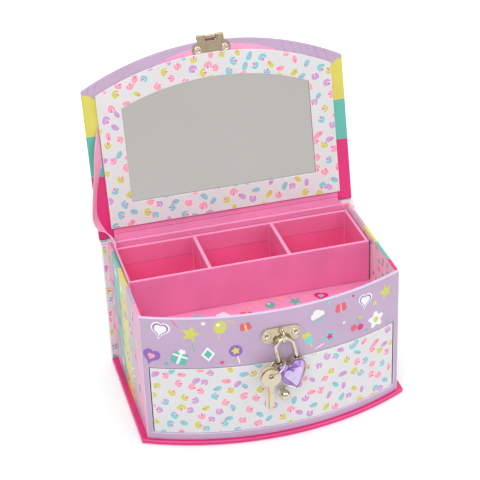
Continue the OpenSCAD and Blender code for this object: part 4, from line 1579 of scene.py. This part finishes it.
@dataclass
class Body:
    """The walls and the bowed front of the box, and the boards inside it.

    Attributes:
        finishes: The materials.
        outline: The body's outline.
        wall: The thickness of its walls.
        floor: The top of the base board.
        top: The rim's height.
        opening: Half the drawer opening's width.
        rail: The height of the rail under the opening.
        head: The opening's upper edge.
        shelf_top: The top of the shelf over the drawer.
        motif_seed: The seed of the motifs' layouts.
    """

    finishes: Finishes
    outline: Outline = Outline(190.4, 54.3, 138.418, 214.518)
    wall: float = 2.4
    floor: float = 3.4
    top: float = 106.8
    opening: float = 91.0
    rail: float = 9.0
    head: float = 65.5
    shelf_top: float = 69.2
    motif_seed: int = 7

    def build(self) -> None:
        """Makes the walls and dresses the boards inside."""
        half, back = self.outline.width / 2 - self.wall, self.outline.back
        bench = Bench()
        bench.block((-half, back - self.wall, self.floor), (half, back, self.top))
        bench.soften(0.5)
        bench.unroll(flat_wrap)
        install("back_wall_cover", bench, [self.finishes.confetti], "box", "rose_paper", ["back_wall"])
        for node, finish in self.finishes.walls.items():
            recover(node, "_cover", finish, "box", "stripe_paper", 0.5)
        self.build_front()
        self.print_motifs()
        pink = self.finishes.pale_pink
        dress({"drawer_floor_board": pink, "floor_spacers": self.finishes.board, "shelf": pink})

    def build_front(self) -> None:
        """Makes the bowed front with its drawer opening."""
        bench, width, height = Bench(), self.outline.width, self.top - self.floor
        middle = Matrix.Translation((0, 0, self.floor + height / 2))
        place = middle @ TO_FRONT @ Matrix.Diagonal((width, height, 1, 1))
        bmesh.ops.create_grid(bench.mesh, x_segments=1, y_segments=1, size=0.5, matrix=place)
        bench.cut(0, (-self.opening, self.opening))
        bench.cut(2, (self.rail, self.head))

        def in_opening(face: BMFace, reach: float, slack: float) -> bool:
            """Whether a face's middle is in the drawer's opening, or within a slack of its edges."""
            spot = face.calc_center_median()
            return abs(spot.x) < reach and self.rail + slack < spot.z < self.head + slack

        hole = [f for f in bench.mesh.faces if in_opening(f, 1, 0)]
        bmesh.ops.delete(bench.mesh, geom=hole, context="FACES")
        bench.thicken(bench.mesh.faces[:], (0, self.wall, 0))
        # The reveal round the drawer opening takes the dark material: painted shade in the gap round the drawer.
        for face in bench.mesh.faces:
            if in_opening(face, self.opening + 0.1, 0.1):
                face.material_index = 1
        bench.soften(0.5, rim=2)
        slice_and_bend(bench, self.outline)
        install("front_cover", bench, self.finishes.front, "box", "lavender_paper", ["front_frame"])

    def print_motifs(self) -> None:
        """Prints the motifs on the front, the side walls and the shelf."""
        bow, inks = self.outline, self.finishes.inks
        artist, marks = MotifArtist(self.motif_seed), []
        for ends in ((-96, -12), (14, 97)):
            marks += artist.field(ends, (66.5, 105.8), 19.5, 7.6, lambda u, v: abs(u) > (23.5 if v > 80 else 17))
        artist.print("front_motifs", marks, bow.wrapped, inks, "box")
        for side, name in ((-1, "left_wall_motifs"), (1, "right_wall_motifs")):
            artist = MotifArtist(self.motif_seed + 2 + side)
            wall_x = side * bow.width / 2
            marks = artist.field((-46, 52) if side > 0 else (-52, 46), (6, 103), 19.0, 6.6, lambda u, v: True)
            artist.print(name, marks, lambda u, v, w: (wall_x + side * w, side * u, v), inks, "box")
        artist = MotifArtist(self.motif_seed + 9)
        marks = artist.field((-88, 88), (-68, -2), 19.0, 6.4, lambda u, v: v > bow.front(u) + 9)
        artist.print("shelf_motifs", marks, lambda u, v, w: (u, v, self.shelf_top + w), inks, "box")


def slice_and_bend(bench: Bench, outline: Outline, steps: int = 44) -> None:
    """Bends a flat plate, its outer face at Y 0, to a bow, and papers it.

    Args:
        bench: The bench with the plate.
        outline: The bow's outline.
        steps: The steps of the bow.
    """
    bench.cut(0, [outline.width / 2 * (2 * i / steps - 1) for i in range(1, steps)])
    bench.move(outline.bend)
    bench.unroll(outline.wrap)


@dataclass
class Tray:
    """The lift-out tray: one wrapped shell with three compartments.

    Attributes:
        finishes: The materials.
        low: Its lowest corner.
        high: Its highest corner.
        wall: The thickness of its outer walls.
        divider: The thickness of its dividers.
        divider_x: The distance of each divider's middle from the tray's.
        floor_top: The top of its floor.
        least_pocket: The least area of a compartment's mouth, to tell it from a divider's top.
    """

    finishes: Finishes
    low: Point = (-91.6, -1.4, 69.4)
    high: Point = (91.6, 50.6, 103.0)
    wall: float = 2.4
    divider: float = 3.0
    divider_x: float = 30.2
    floor_top: float = 71.4
    least_pocket: float = 500.0

    def build(self) -> None:
        """Makes the tray."""
        bench = Bench()
        bench.block(self.low, self.high)
        bench.cut(0, (self.low[0] + self.wall, self.high[0] - self.wall))
        for middle in (-self.divider_x, self.divider_x):
            bench.cut(0, (middle - self.divider / 2, middle + self.divider / 2))
        bench.cut(1, (self.low[1] + self.wall, self.high[1] - self.wall))
        pockets = []
        for face in bench.mesh.faces:
            middle = face.calc_center_median()
            within = self.low[1] + self.wall < middle.y < self.high[1] - self.wall
            if middle.z > self.high[2] - 0.01 and within and face.calc_area() > self.least_pocket:
                pockets.append(face)
        sunk = bmesh.ops.extrude_discrete_faces(bench.mesh, faces=pockets)
        moved = {v for face in sunk["faces"] for v in face.verts}
        bmesh.ops.translate(bench.mesh, verts=list(moved), vec=(0, 0, self.floor_top - self.high[2]))
        bench.fair()
        for face in bench.mesh.faces:
            middle = face.calc_center_median()
            within = abs(middle.x) < self.high[0] - self.wall / 2 and self.low[1] + 1 < middle.y < self.high[1] - 1
            face.material_index = int(within and self.low[2] + 0.5 < middle.z < self.high[2] - 0.5)
        bench.soften(0.55, rim=2)
        bench.unroll(flat_wrap)
        parts = ("floor", "front", "back", "left", "right", "divider_left", "divider_right")
        nodes = ["tray_" + part for part in parts]
        install("tray_shell", bench, self.finishes.tray, "tray", "rose_paper", nodes)


@dataclass
class Drawer:
    """The drawer with its printed bowed front and its knob.

    Attributes:
        finishes: The materials.
        outline: The front's outline.
        low: The front's lower edge.
        high: Its upper edge.
        thick: Its thickness.
        knob_z: The knob's height.
        knob_y: Y of the knob's foot.
        knob_head: The radius of the knob's head.
        knob_length: Its length.
        knob_neck: The radius of its neck.
    """

    finishes: Finishes
    outline: Outline = Outline(180.6, 54.3, 138.418, 214.218)
    low: float = 9.2
    high: float = 64.8
    thick: float = 2.4
    knob_z: float = 39.5
    knob_y: float = -75.85
    knob_head: float = 4.0
    knob_length: float = 10.4
    knob_neck: float = 2.2

    def build(self) -> None:
        """Makes the drawer."""
        bench = Bench()
        half = self.outline.width / 2
        bench.block((-half, 0, self.low), (half, self.thick, self.high))
        bench.soften(0.5, rim=1)
        slice_and_bend(bench, self.outline)
        install("drawer_front_cover", bench, self.finishes.print, "drawer", "print_paper", ["drawer_front"])
        for node in ("drawer_floor", "drawer_left", "drawer_right", "drawer_back"):
            recover(node, "_cover", self.finishes.confetti, "drawer", "pale_pink_paper", 0.35)
        self.build_knob()

    def build_knob(self) -> None:
        """Makes the turned knob and dresses its screw."""
        head, length, neck = self.knob_head, self.knob_length, self.knob_neck
        profile = [(0.0, 0.0), (3.3, 0.0), (3.35, 0.3), (3.3, 1.1), (3.0, 1.35), (neck + 0.2, 1.4), (neck, 1.7)]
        profile += [(neck, 3.2), (2.5, 3.4), (2.6, 3.7), (2.6, 4.6), (2.4, 4.9), (2.5, 5.2), (3.4, 5.3), (3.9, 5.6)]
        dome = [math.radians(90 * i / 12) for i in range(12)]
        profile += [(head * math.cos(a), length - head + head * math.sin(a)) for a in dome] + [(0.0, length)]
        bench = Bench()
        bench.lathe(profile, Matrix.Translation((0, self.knob_y, self.knob_z)) @ TO_FRONT)
        nickel, dull = [self.finishes.nickel], self.finishes.nickel_dull
        install("knob_turned", bench, nickel, "drawer", "nickel", ["drawer_knob"], sharp=50, even=False)
        dress({"knob_screw": dull, "knob_washer": dull})


@dataclass
class Fittings:
    """The hasp, the latch, the shackle and the keys.

    Attributes:
        finishes: The materials.
        boards: The boards that carry the hasp.
        bow: The front's outline.
        rivet_x: The distance of a plate's rivets from its middle.
        latch_z: The latch plate's height.
        latch_t: How far its face is proud of the front.
        latch_end: The radius of its ends, less its edge.
        latch_reach: The distance of their middles from the plate's.
        hasp_v: The distance of the hasp's rivets from the lid's back edge.
    """

    finishes: Finishes
    boards: CoverBoards
    bow: Outline = Body.outline
    rivet_x: float = 10.4
    latch_z: float = 87.5
    latch_t: float = 0.86
    latch_end: float = 5.95
    latch_reach: float = 8.5
    hasp_v: float = 131.9

    def build(self) -> None:
        """Makes the fittings."""
        f = self.finishes
        rows = (
            ("hasp_plate", "lid", 0.16, f.hasp_nickel),
            ("hasp_pin", "lid", 0.12, f.hasp_nickel),
            ("hasp_leaf", "hasp", 0.14, f.hasp_nickel),
            ("latch_plate", "box", 0.1, f.latch_nickel),
            ("staple", "box", 0.0, f.nickel),
            ("shackle", "shackle", 0.2, f.nickel),
            ("lock_plug", "lock", 0.1, f.nickel),
            ("key_ring", "ring", 0.0, f.nickel),
            ("key_front", "key_front", 0.2, f.key_nickel),
            ("key_rear", "key_rear", 0.2, f.key_nickel),
        )
        for node, body, edge, finish in rows:
            recover(node, "_plated", finish, body, "nickel", edge, 2, 50.0)
        self.build_rivets()
        self.build_latch_rim()

    def build_latch_rim(self) -> None:
        """Makes the raised rim of the latch plate, in a lighter plating that is a painted highlight."""
        bench = Bench()
        oval = bmesh.ops.create_circle(bench.mesh, cap_ends=True, segments=64, radius=self.latch_end)
        for v in oval["verts"]:
            v.co.x += math.copysign(self.latch_reach, v.co.x) if abs(v.co.x) > 0.01 else 0.0
        bmesh.ops.inset_individual(bench.mesh, faces=bench.mesh.faces[:], thickness=0.95, use_even_offset=True)
        middle = min(bench.mesh.faces, key=lambda f: f.calc_center_median().length)
        bmesh.ops.delete(bench.mesh, geom=[middle], context="FACES_ONLY")
        bench.thicken(bench.mesh.faces[:], (0, 0, 1.18))
        bench.soften(0.3, 3, 60.0)
        bench.cut(0, [i * 2.0 for i in range(-6, 7)])
        bench.move(lambda place: Vector(self.bow.wrapped(place.x, place.y + self.latch_z, place.z)))
        bench.unroll(flat_wrap)
        # The rim takes the lighter plating: a painted highlight.
        install("latch_rim", bench, [self.finishes.rim_highlight_nickel], "box", "nickel")

    def build_rivets(self) -> None:
        """Makes the eyelet rivets of both plates."""
        angle = math.asin(self.rivet_x / self.bow.radius)
        bench = Bench()
        for side in (-1, 1):
            place = Matrix.Translation((0, self.bow.centre, self.latch_z)) @ Matrix.Rotation(side * angle, 4, "Z")
            place = place @ Matrix.Translation((0, -self.bow.radius - self.latch_t, 0)) @ TO_FRONT
            self.eyelet(bench, place, 4.0)
        look = {"sharp": 60, "even": False}
        metals = [self.finishes.nickel, self.finishes.shadow]
        install("latch_eyelets", bench, metals, "box", "nickel", ["latch_rivets"], **look)
        bench, lid = Bench(), self.boards
        for side in (-1, 1):
            place = Matrix.Translation((side * self.rivet_x, lid.lid.back - self.hasp_v, lid.lid_z - 0.8))
            self.eyelet(bench, place @ Matrix.Rotation(math.pi, 4, "X"), 3.3)
        bench.turn(lid.opened())
        install("hasp_eyelets", bench, metals, "lid", "nickel", ["hasp_rivets"], **look)

    @staticmethod
    def eyelet(bench: Bench, place: Matrix, grip: float) -> None:
        """Turns a hollow rivet, its curled flange outwards along Z.

        Args:
            bench: The bench.
            place: Places the surface it is set in, at Z 0.
            grip: How much it holds together.
        """
        far, dark_r = -grip, 0.85
        profile = [(0.0, -1.3), (0.72, -1.3), (0.8, -0.6), (1.05, -0.2), (1.45, 0.15), (1.75, 0.42), (2.15, 0.52)]
        profile += [(2.6, 0.44), (2.95, 0.22), (3.05, 0.0), (1.25, -0.02), (1.25, far + 0.02), (2.0, far)]
        profile += [(2.0, far - 0.25), (1.5, far - 0.5), (0.8, far - 0.5), (0.6, far), (0.0, far)]
        old = set(bench.mesh.faces)
        bench.lathe(profile, place, 40)
        flat = place.inverted()
        # The bore's faces take the dark material: painted shade inside the hollow rivet.
        for face in set(bench.mesh.faces) - old:
            spot = flat @ face.calc_center_median()
            if math.hypot(spot.x, spot.y) < dark_r:
                face.material_index = 1


@dataclass
class Padlock:
    """The heart padlock's case and gem.

    Attributes:
        finishes: The materials.
        crown: The top of the shackle's wire.
        lean: Its sideways lean, in degrees.
        drop: From the crown down to the middles of the heart's lobes.
        back: How far its back face is behind the crown.
        thick: The case's thickness.
        lobe_r: The lobes' radius.
        lobe_x: Their distance from the middle.
        tip_drop: From the lobes' middles down to the tip's.
        tip_r: The tip's radius.
        belly: How far the sides bulge, in degrees.
        rim: The width of the rim round the gem.
        rim_h: Its height.
        gem_h: The gem's height.
        leg_x: The distance of the shackle's legs from the middle.
        gem_seed: The seed of the facets' tones.
    """

    finishes: Finishes
    crown: Point = (0.0, -80.1, 85.066)
    lean: float = 11.0
    drop: float = 23.4
    back: float = 2.7
    thick: float = 5.4
    lobe_r: float = 5.9
    lobe_x: float = 5.25
    tip_drop: float = 16.5
    tip_r: float = 1.6
    belly: float = 26.0
    rim: float = 0.95
    rim_h: float = 0.8
    gem_h: float = 2.2
    leg_x: float = 6.5
    gem_seed: int = 3

    def place(self) -> Matrix:
        """The turn that hangs a heart drawn in X-Y, its front along Z, on the shackle."""
        hang = Matrix.Translation(self.crown) @ Matrix.Rotation(-math.radians(self.lean), 4, "Y")
        return hang @ Matrix.Translation((0, self.back, -self.drop)) @ TO_FRONT

    def outline(self, inset: float, lobe: int, side: int, tip: int) -> list[Vector]:
        """The heart's outline, with bellied sides.

        Args:
            inset: How far it is drawn in.
            lobe: The steps of each lobe.
            side: The steps of each side.
            tip: The steps of half the tip.

        Returns:
            Its points, clockwise from the notch.
        """
        r1, r2 = self.lobe_r - inset, max(self.tip_r - inset, 0.35)
        span = math.hypot(self.lobe_x, self.tip_drop)
        normal = math.atan2(self.tip_drop, self.lobe_x) - math.acos((r2 - r1) / span)
        notch = math.acos(max(-self.lobe_x / r1, -1.0))
        first, last = normal + math.radians(self.belly), normal - math.radians(self.belly * 0.8)
        middle, low = Vector((self.lobe_x, 0)), Vector((0, -self.tip_drop))

        def on(centre: Vector, radius: float, angle: float) -> Vector:
            """A point of a circle."""
            return centre + Vector((math.cos(angle), math.sin(angle))) * radius

        right = [on(middle, r1, notch + (first - notch) * i / lobe) for i in range(lobe + 1)]
        a, b = right[-1], on(low, r2, last)
        ahead, behind = Vector((math.sin(first), -math.cos(first))), Vector((math.sin(last), -math.cos(last)))
        gap = b - a
        reach = (gap.x * behind.y - gap.y * behind.x) / (ahead.x * behind.y - ahead.y * behind.x)
        corner = a + ahead * reach
        for i in range(1, side + 1):
            t = i / side
            right.append(a * (1 - t) ** 2 + corner * (2 * t * (1 - t)) + b * t * t)
        right += [on(low, r2, last - (last + math.pi / 2) * i / tip) for i in range(1, tip + 1)]
        return right + [Vector((-p.x, p.y)) for p in reversed(right[1:-1])]

    @staticmethod
    def draw(bench: Bench, points: Sequence[Vector], z: float) -> list[BMEdge]:
        """Draws a filled outline.

        Args:
            bench: The bench.
            points: Its points.
            z: Its height.

        Returns:
            Its edges, in the mesh's order.
        """
        before = set(bench.mesh.edges)
        made = bmesh.ops.create_circle(bench.mesh, cap_ends=True, segments=len(points), radius=1.0)["verts"]
        for v, p in zip(made, points):
            v.co = (p.x, p.y, z)
        return [e for e in bench.mesh.edges if e not in before]

    def build(self) -> None:
        """Makes the case, dark discs of painted shade for its leg holes, and the gem."""
        bench = Bench()
        self.draw(bench, self.outline(0.0, 22, 12, 4), 0.0)
        bench.thicken(bench.mesh.faces[:], (0, 0, self.thick + self.rim_h))
        top = max(bench.mesh.faces, key=lambda f: f.calc_center_median().z)
        bmesh.ops.inset_individual(bench.mesh, faces=[top], thickness=self.rim, use_even_offset=True)
        bmesh.ops.translate(bench.mesh, verts=top.verts, vec=(0, 0, -self.rim_h))
        bench.soften(0.32, 3, 60.0)
        bench.turn(self.place())
        bench.unroll(flat_wrap)
        install("heart_case", bench, [self.finishes.nickel], "lock", "nickel", ["lock_case"])
        # Thin dark discs on the case stand for the leg holes: painted shade.
        bench = Bench()
        beside = self.leg_x - self.lobe_x
        rise = math.sqrt(self.lobe_r**2 - beside**2)
        profile = [(0.0, 0.0), (0.0, 0.1), (1.34, 0.1), (1.34, 0.2), (1.9, 0.2), (1.95, 0.0), (0.0, 0.0)]
        for side in (-1, 1):
            spot = Matrix.Translation((side * self.leg_x, rise - 0.12, self.back))
            tilt = Matrix.Rotation(-side * math.atan2(beside, rise), 4, "Z")
            bench.lathe(profile, spot @ tilt @ TO_FRONT.inverted(), 32)
        bench.turn(self.place())
        install("leg_hole_shadows", bench, [self.finishes.shadow], "lock", "nickel", even=False)
        self.build_gem()

    def build_gem(self) -> None:
        """Makes the faceted gem."""
        bench, floor = Bench(), self.thick + 0.03
        self.draw(bench, self.outline(self.rim + 0.04, 6, 3, 1), floor)
        bench.thicken(bench.mesh.faces[:], (0, 0, 0.75))
        cap = max(bench.mesh.faces, key=lambda f: f.calc_center_median().z)
        bmesh.ops.delete(bench.mesh, geom=[cap], context="FACES_ONLY")
        rim = [e for e in bench.mesh.edges if min(v.co.z for v in e.verts) > floor + 0.5]
        middle, from_middle = Vector((0.75, -6.9)), Vector((0, -5.5))
        crown = [middle + (p - from_middle) * 0.7 for p in self.outline(self.rim, 3, 1, 1)]
        crown = [p + Vector((0, -0.8)) if abs(p.x) < 0.6 and p.y > -6 else p for p in crown]
        table = self.draw(bench, crown, floor + self.gem_h)
        bmesh.ops.bridge_loops(bench.mesh, edges=rim + table)
        bench.fair()
        slopes = [f for f in bench.mesh.faces if len(f.verts) == 4 and f.normal.z > 0.05]
        bmesh.ops.triangulate(bench.mesh, faces=slopes)
        chance = random.Random(self.gem_seed)
        # Each facet takes a lit or a shaded copy of the gem by the way it faces, with some chance: painted shade on the
        # facets turned up and to the left.
        for face in bench.mesh.faces:
            if face.normal.z > 0.98:
                face.material_index = 0
            elif face.normal.y * 0.8 - face.normal.x * 0.6 > 0.15:
                face.material_index = 2 if chance.random() < 0.8 else 1
            else:
                face.material_index = 1 if chance.random() < 0.7 else 2
        bench.turn(self.place())
        bench.unroll(flat_wrap)
        install("heart_gem", bench, self.finishes.gem, "lock", "gem", ["lock_gem"], sharp=2, even=False)


@dataclass
class RibbonStay:
    """The satin ribbon that holds the open lid.

    Attributes:
        finishes: The materials.
        route: The points of its middle line, from the corner.
        across: The direction across it at each point.
        corner: The corner at the left end of the hinge.
        width: Its width.
        thick: Its thickness.
        cup: How far its middle stands off the line.
        rows: Its cells along.
        cells: Its cells across.
    """

    finishes: Finishes
    route: tuple[Point, ...] = (
        (9.4, 22.5, 71.2),
        (7.1, 18.6, 63.7),
        (5.1, 15.5, 56.2),
        (3.4, 13, 49.2),
        (1, 10.2, 39.2),
        (-0.9, 7.8, 28.7),
        (-1.6, 5.8, 18.7),
        (1, 3, 11.2),
        (6.1, -1, 6),
        (8.02, -12, 3.2),
        (7.85, -26, -1.3),
        (7.8, -42, -2),
        (7.8, -56, -2.8),
        (7.8, -68, -6.8),
    )
    across: tuple[Point, ...] = (
        (0, -0.21, -0.98),
        (0.2, -0.05, -0.98),
        (0.4, 0.35, -0.85),
        (0.5, 0.75, -0.4),
        (0.45, 0.85, -0.3),
        (0.45, 0.85, -0.25),
        (0.5, 0.85, -0.15),
        (0.5, 0.8, -0.25),
        (0.35, 0.4, -0.8),
        *((0, 0, -1),) * 4,
        (0, 0.3, -0.95),
    )
    corner: Point = (-100.0, 54.3, 106.8)
    width: float = 10.0
    thick: float = 0.24
    cup: float = 0.25
    rows: int = 104
    cells: int = 8

    @staticmethod
    def spline(points: Sequence[Vector], place: float) -> Vector:
        """A point on the smooth curve through a row of points.

        Args:
            points: The row.
            place: The place along it; whole numbers are the points.

        Returns:
            The point.
        """
        last = len(points) - 1
        i = min(int(place), last - 1)
        t = place - i
        p = [points[min(max(i + k, 0), last)] for k in (-1, 0, 1, 2)]
        bend = p[1] * 2 + (p[2] - p[0]) * t
        bend += (p[0] * 2 - p[1] * 5 + p[2] * 4 - p[3]) * t**2 + (p[1] * 3 - p[0] - p[2] * 3 + p[3]) * t**3
        return bend / 2

    def build(self) -> None:
        """Makes the ribbon."""
        points = [Vector(p) + Vector(self.corner) for p in self.route]
        across = [Vector(a) for a in self.across]
        rows = self.rows
        line = [self.spline(points, i * (len(points) - 1) / rows) for i in range(rows + 1)]
        run = [0.0]
        for a, b in zip(line, line[1:]):
            run.append(run[-1] + (b - a).length)
        bench = Bench()
        bmesh.ops.create_grid(bench.mesh, x_segments=self.cells, y_segments=rows, size=0.5)
        bench.unroll(lambda p, _: (p.x * self.width, run[round((p.y + 0.5) * rows)]))
        for v in bench.mesh.verts:
            row = round((v.co.y + 0.5) * rows)
            side = self.spline(across, row * (len(points) - 1) / rows)
            ahead = (line[min(row + 1, rows)] - line[max(row - 1, 0)]).normalized()
            half = side * (self.width / side.cross(ahead).length)
            cup = ahead.cross(side).normalized() * (self.cup * math.cos(math.pi * v.co.x))
            v.co = line[row] + half * v.co.x + cup
        bench.fair()
        bmesh.ops.solidify(bench.mesh, geom=bench.mesh.faces[:], thickness=self.thick)
        bench.fair()
        ribbon = install("ribbon_stay", bench, self.finishes.satin, "", "satin_ribbon", ["lid_ribbon"], even=False)
        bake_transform(ribbon)
        LOG.info("the ribbon is %.1f mm long", run[-1])


@dataclass
class Studio:
    """The floor, the lamps and the camera.

    Attributes:
        camera_at: The camera's place, in millimetres.
        azimuth: How far the view turns to the right, in degrees.
        elevation: How far it looks down, in degrees.
        roll: How far the camera leans, in degrees.
        lens: Its focal length on a 36 mm sensor.
        floor_z: The floor's height, in metres.
        floor_reach: Half the floor's width, in metres.
        floor_glow: How far the camera sees the floor lighter than it is, near the box.
        sky_level: The strength of the world's light.
        aim: The point that the lamps and cards face, in metres.
        card: The dark cards' colour.
    """

    camera_at: Point = (-240.71, -909.81, 667.1)
    azimuth: float = 14.401
    elevation: float = 30.131
    roll: float = -2.365
    lens: float = 112.69
    floor_z: float = -0.0004
    floor_reach: float = 6.0
    floor_glow: float = 0.2
    sky_level: float = 0.68
    aim: Point = (0, 0, 0.1)
    card: str = "5E564C"

    def build(self) -> None:
        """Makes the studio."""
        bpy.context.scene.view_settings.view_transform = "Standard"
        self.place_camera()
        self.lay_floor()
        self.light()
        self.hang_cards()

    def place_camera(self) -> None:
        """Sets the camera where the photograph was taken."""
        az, el, lean = (math.radians(a) for a in (self.azimuth, self.elevation, self.roll))
        right = Vector((math.cos(az), -math.sin(az), 0))
        ahead = Vector((math.sin(az) * math.cos(el), math.cos(az) * math.cos(el), -math.sin(el)))
        up = right.cross(ahead)
        x = right * math.cos(lean) + up * math.sin(lean)
        y = up * math.cos(lean) - right * math.sin(lean)
        data = bpy.data.cameras.new("camera")
        data.sensor_width, data.lens, data.clip_start, data.clip_end = 36.0, self.lens, 0.01, 20.0
        camera = bpy.data.objects.new("camera", data)
        turn = Matrix((x, y, -ahead)).transposed().to_4x4()
        camera.matrix_world = Matrix.Translation(Vector(self.camera_at) * MM) @ turn
        bpy.context.scene.collection.objects.link(camera)
        bpy.context.scene.camera = camera

    @staticmethod
    def stand(name: str, place: Matrix, finish: Material) -> bpy.types.Object:
        """Puts up a flat sheet that isn't part of the object.

        Args:
            name: Its name.
            place: Places a square that reaches from -1 to 1.
            finish: Its material.

        Returns:
            The sheet.
        """
        bench = Bench()
        bmesh.ops.create_grid(bench.mesh, x_segments=1, y_segments=1, size=1.0, matrix=place)
        sheet = bench.as_object(name, [finish])
        return sheet

    def towards_aim(self, where: Point) -> Matrix:
        """The turn from a place in the studio towards the box."""
        return (Vector(self.aim) - Vector(where)).to_track_quat("-Z", "Y").to_matrix().to_4x4()

    def lay_floor(self) -> None:
        """Lays a pale floor that stays white in view and keeps the box's shadow."""
        recipe = Recipe("studio_floor")
        recipe.set(Base_Color=(0.885, 0.9, 0.925, 1.0), Roughness=0.9, Specular_IOR_Level=0.1)
        plain = recipe.shader.outputs[0]
        rising = recipe.spread(recipe.length(recipe.place()), (0.3, 1.2), (self.floor_glow, 1.0))
        glow, white = (recipe.node("Emission", (WHITE, level)).outputs[0] for level in (rising, 1.0))
        both = recipe.node("AddShader", (plain, glow)).outputs[0]
        rays = recipe.node("LightPath").outputs
        seen = recipe.node("MixShader", (rays["Is Camera Ray"], plain, both)).outputs[0]
        mirrored = recipe.math("MAXIMUM", rays["Is Glossy Ray"], rays["Is Transmission Ray"])
        recipe.end_with(recipe.node("MixShader", (mirrored, seen, white)).outputs[0])
        reach = Matrix.Diagonal((self.floor_reach, self.floor_reach, 1, 1))
        self.stand("floor", Matrix.Translation((0, 0, self.floor_z)) @ reach, recipe.material)

    def light(self) -> None:
        """Hangs the soft lamps and sets the world."""
        world = bpy.data.worlds.new("studio")
        bpy.context.scene.world = world
        world.use_nodes = True
        sky = Nodes(world.node_tree)
        rays = sky.node("LightPath").outputs
        seen = sky.math("MAXIMUM", rays["Is Camera Ray"], rays["Is Glossy Ray"])
        sky.fill(sky.tree.nodes["Background"], (WHITE, sky.spread(seen, (0.0, 1.0), (self.sky_level, 1.0))))
        lamps = (
            ("key_lamp", (-0.7, -1.2, 1.6), 1.3, 12.0),
            ("fill_lamp", (1.3, -0.9, 1.1), 1.4, 6.0),
            ("top_lamp", (0.1, 0.3, 1.9), 1.3, 7.0),
        )
        for name, where, size, watts in lamps:
            data = bpy.data.lights.new(name, "AREA")
            data.shape, data.size, data.energy = "DISK", size, watts
            lamp = bpy.data.objects.new(name, data)
            lamp.matrix_world = Matrix.Translation(where) @ self.towards_aim(where)
            bpy.context.scene.collection.objects.link(lamp)

    def hang_cards(self) -> None:
        """Hangs dark cards for the plated metal alone to reflect; the mirror looks through them."""
        recipe = Recipe("dark_card")
        recipe.set(Base_Color=paint(self.card), Roughness=0.9)
        clear = recipe.node("BsdfTransparent").outputs[0]
        sharp = recipe.node("LightPath").outputs["Is Singular Ray"]
        recipe.end_with(recipe.node("MixShader", (sharp, recipe.shader.outputs[0], clear)).outputs[0])
        rows = (
            ("card_left", (-1.4, 0.1, 0.5), (0.9, 1.0)),
            ("card_right", (1.5, 0.0, 0.7), (0.9, 1.0)),
            ("card_above", (0.0, -0.5, 2.4), (1.4, 0.35)),
            ("card_front", (-0.45, -2.2, 1.5), (0.9, 0.5)),
            ("card_low_left", (-1.3, -1.7, 0.45), (0.5, 0.4)),
            ("card_low_right", (1.1, -1.8, 0.45), (0.5, 0.4)),
            ("card_low_front", (-0.3, -2.5, 0.3), (0.45, 0.25)),
        )
        for name, where, size in rows:
            place = Matrix.Translation(where) @ self.towards_aim(where) @ Matrix.Diagonal((*size, 1, 1))
            card = self.stand(name, place, recipe.material)
            card.visible_camera = card.visible_diffuse = card.visible_shadow = False
            card.visible_transmission = False


def main() -> None:
    """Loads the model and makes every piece."""
    logging.basicConfig(level=logging.INFO, format="%(name)s: %(message)s")
    FRAME.update(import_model())
    finishes = Finishes()
    boards = CoverBoards(finishes)
    for group in (
        boards,
        HingePapers(finishes, boards),
        Body(finishes),
        Tray(finishes),
        Drawer(finishes),
        Fittings(finishes, boards),
        Padlock(finishes),
        RibbonStay(finishes),
        Studio(),
    ):
        group.build()


if __name__ == "__main__":
    main()
